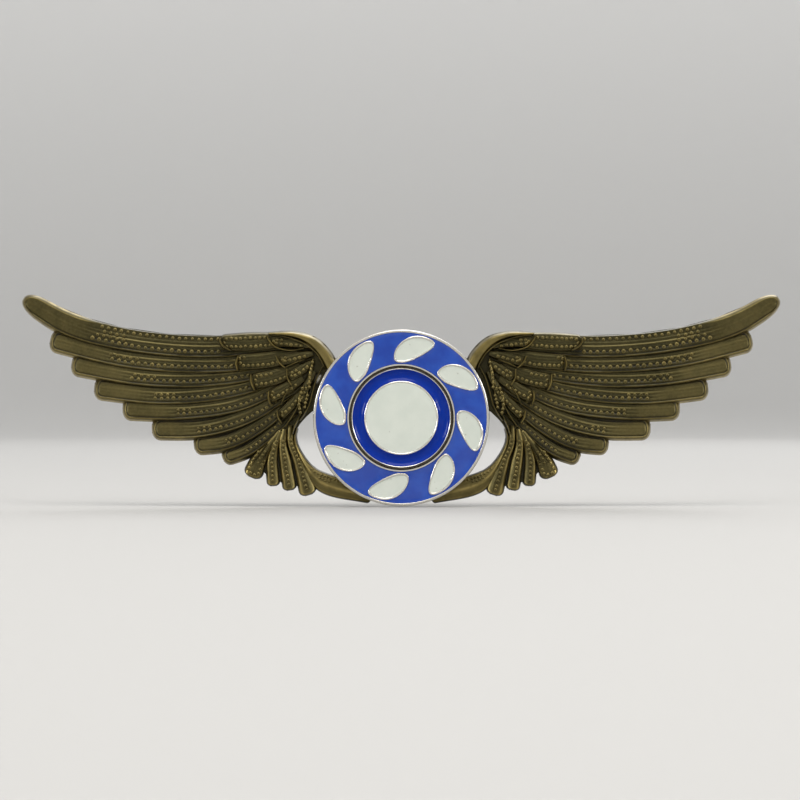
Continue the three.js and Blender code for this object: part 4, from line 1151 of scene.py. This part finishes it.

# %% [markdown]
# ### Enamel
# Enamel is coloured glass on metal. It has the hard sharp shine of glass over a colour that
# mottles a little where the powder lay thicker, and a few pinholes. A clear coat over a base
# colour gives both layers of that look. The button's dished ring lies deeper, so it gets a darker
# copy of the blue as painted shade, and it shines less.

# %% Enamels
def glass(tree, skin, rough, swell, coat=0.4):
    """Shader settings of coloured glass whose surface swells by swell mm under a clear coat."""
    return [("Base Color", skin), ("Roughness", rough), ("IOR", 1.52), ("Coat Weight", coat),
            ("Coat Roughness", 0.03), ("Normal", bump(tree, noise(tree, 2.2, 1.0), swell))]


def blue_enamel(tree):
    """Strong blue, a little lighter in clouds."""
    cloud = ranged(tree, noise(tree, 1.6, 3.0), 0.3, 0.7, 0.0, 1.0)
    return glass(tree, mixed(tree, cloud, "#07389a", "#1246a9"), 0.12, 0.02)


def white_enamel(tree):
    """Greenish white with a few darker pinholes."""
    cloud = ranged(tree, noise(tree, 1.8, 3.0), 0.3, 0.7, 0.0, 1.0)
    skin = mixed(tree, cloud, "#cfd4ca", "#c9cfc5")
    pits = ranged(tree, noise(tree, 0.35, 1.0), 0.74, 0.79, 0.0, 0.5)
    return glass(tree, mixed(tree, pits, skin, "#8f8c7e"), 0.14, 0.015)


def shaded_blue_enamel(tree):
    """Blue darkened as painted shade for the deeper ring, with hardly any shine of its own."""
    skin = mixed(tree, noise(tree, 1.6, 3.0), "#03268a", "#0a3294")
    return glass(tree, skin, 0.12, 0.02, coat=0.08) + [("Specular IOR Level", 0.1)]


blue = material("blue enamel", blue_enamel)
shaded_blue = material("shaded blue enamel", shaded_blue_enamel)
white = material("white enamel", white_enamel)

# %% Give every piece its material
FINISH = {"antique_bronze": bronze, "silver_plate": silver, "plain_brass": brass,
          "plated_steel": steel, "solder": solder, "blue_enamel": blue, "white_enamel": white}
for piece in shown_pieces():
    piece.data.materials.clear()
    # The dished ring takes the darker blue: painted shade for its deeper place.
    piece.data.materials.append(shaded_blue if piece is ring else FINISH[piece["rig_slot"]])

# %% [markdown]
# ## Floor, light and camera
# The pin stands on its lower edge on a plain pale floor, in a pale room. Metal shows what is round
# it, so the lights are large soft panels: one above, one to each side. The camera looks straight
# at the front through a long lens, which keeps the wings from bulging.

# %% Stage
FLOOR_Z = -9.42
FLAT, WALL, TOP = 600.0, 1500.0, 1600.0


def climb(tree):
    """0 on the floor and 1 high on the wall: painted shade that makes the floor darker than the wall
    against the stronger light on it, so that both look equally pale.
    """
    coords = add(tree, "ShaderNodeTexCoord").outputs["Object"]
    height = add(tree, "ShaderNodeSeparateXYZ", [(0, coords)]).outputs[2]
    return ranged(tree, height, -0.05, 0.35, 0.0, 1.0)


def bowl():
    """A floor that sweeps up to a round wall, as a profile turned about the upright axis."""
    sweep = np.linspace(0, np.pi / 2, 24)
    radius = np.concatenate([[0, FLAT / 2], FLAT + (WALL - FLAT) * np.sin(sweep), [WALL]])
    height = np.concatenate([[0, 0], (WALL - FLAT) * (1 - np.cos(sweep)), [TOP]]) + FLOOR_Z
    points, faces, _ = about_z(np.stack([radius, height], axis=1), 0, 0, 0, sides=96)
    mesh = bpy.data.meshes.new("floor")
    mesh.from_pydata(points * MM, [], faces.tolist())
    mesh.shade_smooth()
    return new_object("floor", mesh)


floor = bowl()
# Painted shade: the floor is coloured darker than the wall because the lights fall more strongly on it.
floor.data.materials.append(material("pale floor", lambda tree: [
    ("Base Color", mixed(tree, climb(tree), "#b9b8b6", "#e9e8e6")),
    ("Roughness", 0.8)]))


def panel(name, place_mm, size_mm, watts, colour="#ffffff"):
    """A square soft light at place_mm that faces the badge."""
    data = bpy.data.lights.new(name, "AREA")
    data.shape = "SQUARE"
    data.size = size_mm * MM
    data.energy = watts
    data.color = linear(colour)[:3]
    made = new_object(name, data)
    made.location = np.array(place_mm) * MM
    away = -made.location
    made.rotation_euler = away.to_track_quat("-Z", "Y").to_euler()


panel("light above", (0, -250, 500), 350, 1.5, "#fffaf2")
panel("light left", (-480, -300, 120), 150, 0.8, "#f6f9ff")
panel("light right", (480, -300, 160), 150, 0.8)
panel("light behind", (100, 450, 350), 300, 0.8)

world = bpy.data.worlds.new("pale room")
world.use_nodes = True
world.node_tree.nodes["Background"].inputs[0].default_value = linear("#e6e7e8")
world.node_tree.nodes["Background"].inputs[1].default_value = 1.3
bpy.context.scene.world = world
bpy.context.scene.view_settings.view_transform = "Standard"

# %% Camera
LENS, SENSOR = 135.0, 36.0
FRAME_WIDTH = 84.3
camera_data = bpy.data.cameras.new("camera")
camera_data.lens = LENS
camera_data.sensor_width = SENSOR
camera_data.clip_start = 0.01
camera_data.clip_end = 20.0
camera = new_object("camera", camera_data)
camera.location = (-0.13 * MM, -(FRAME_WIDTH * LENS / SENSOR + 2.5) * MM, 1.88 * MM)
camera.rotation_euler = (math.pi / 2, 0, 0)
bpy.context.scene.camera = camera
print("camera", [round(v, 4) for v in camera.location])
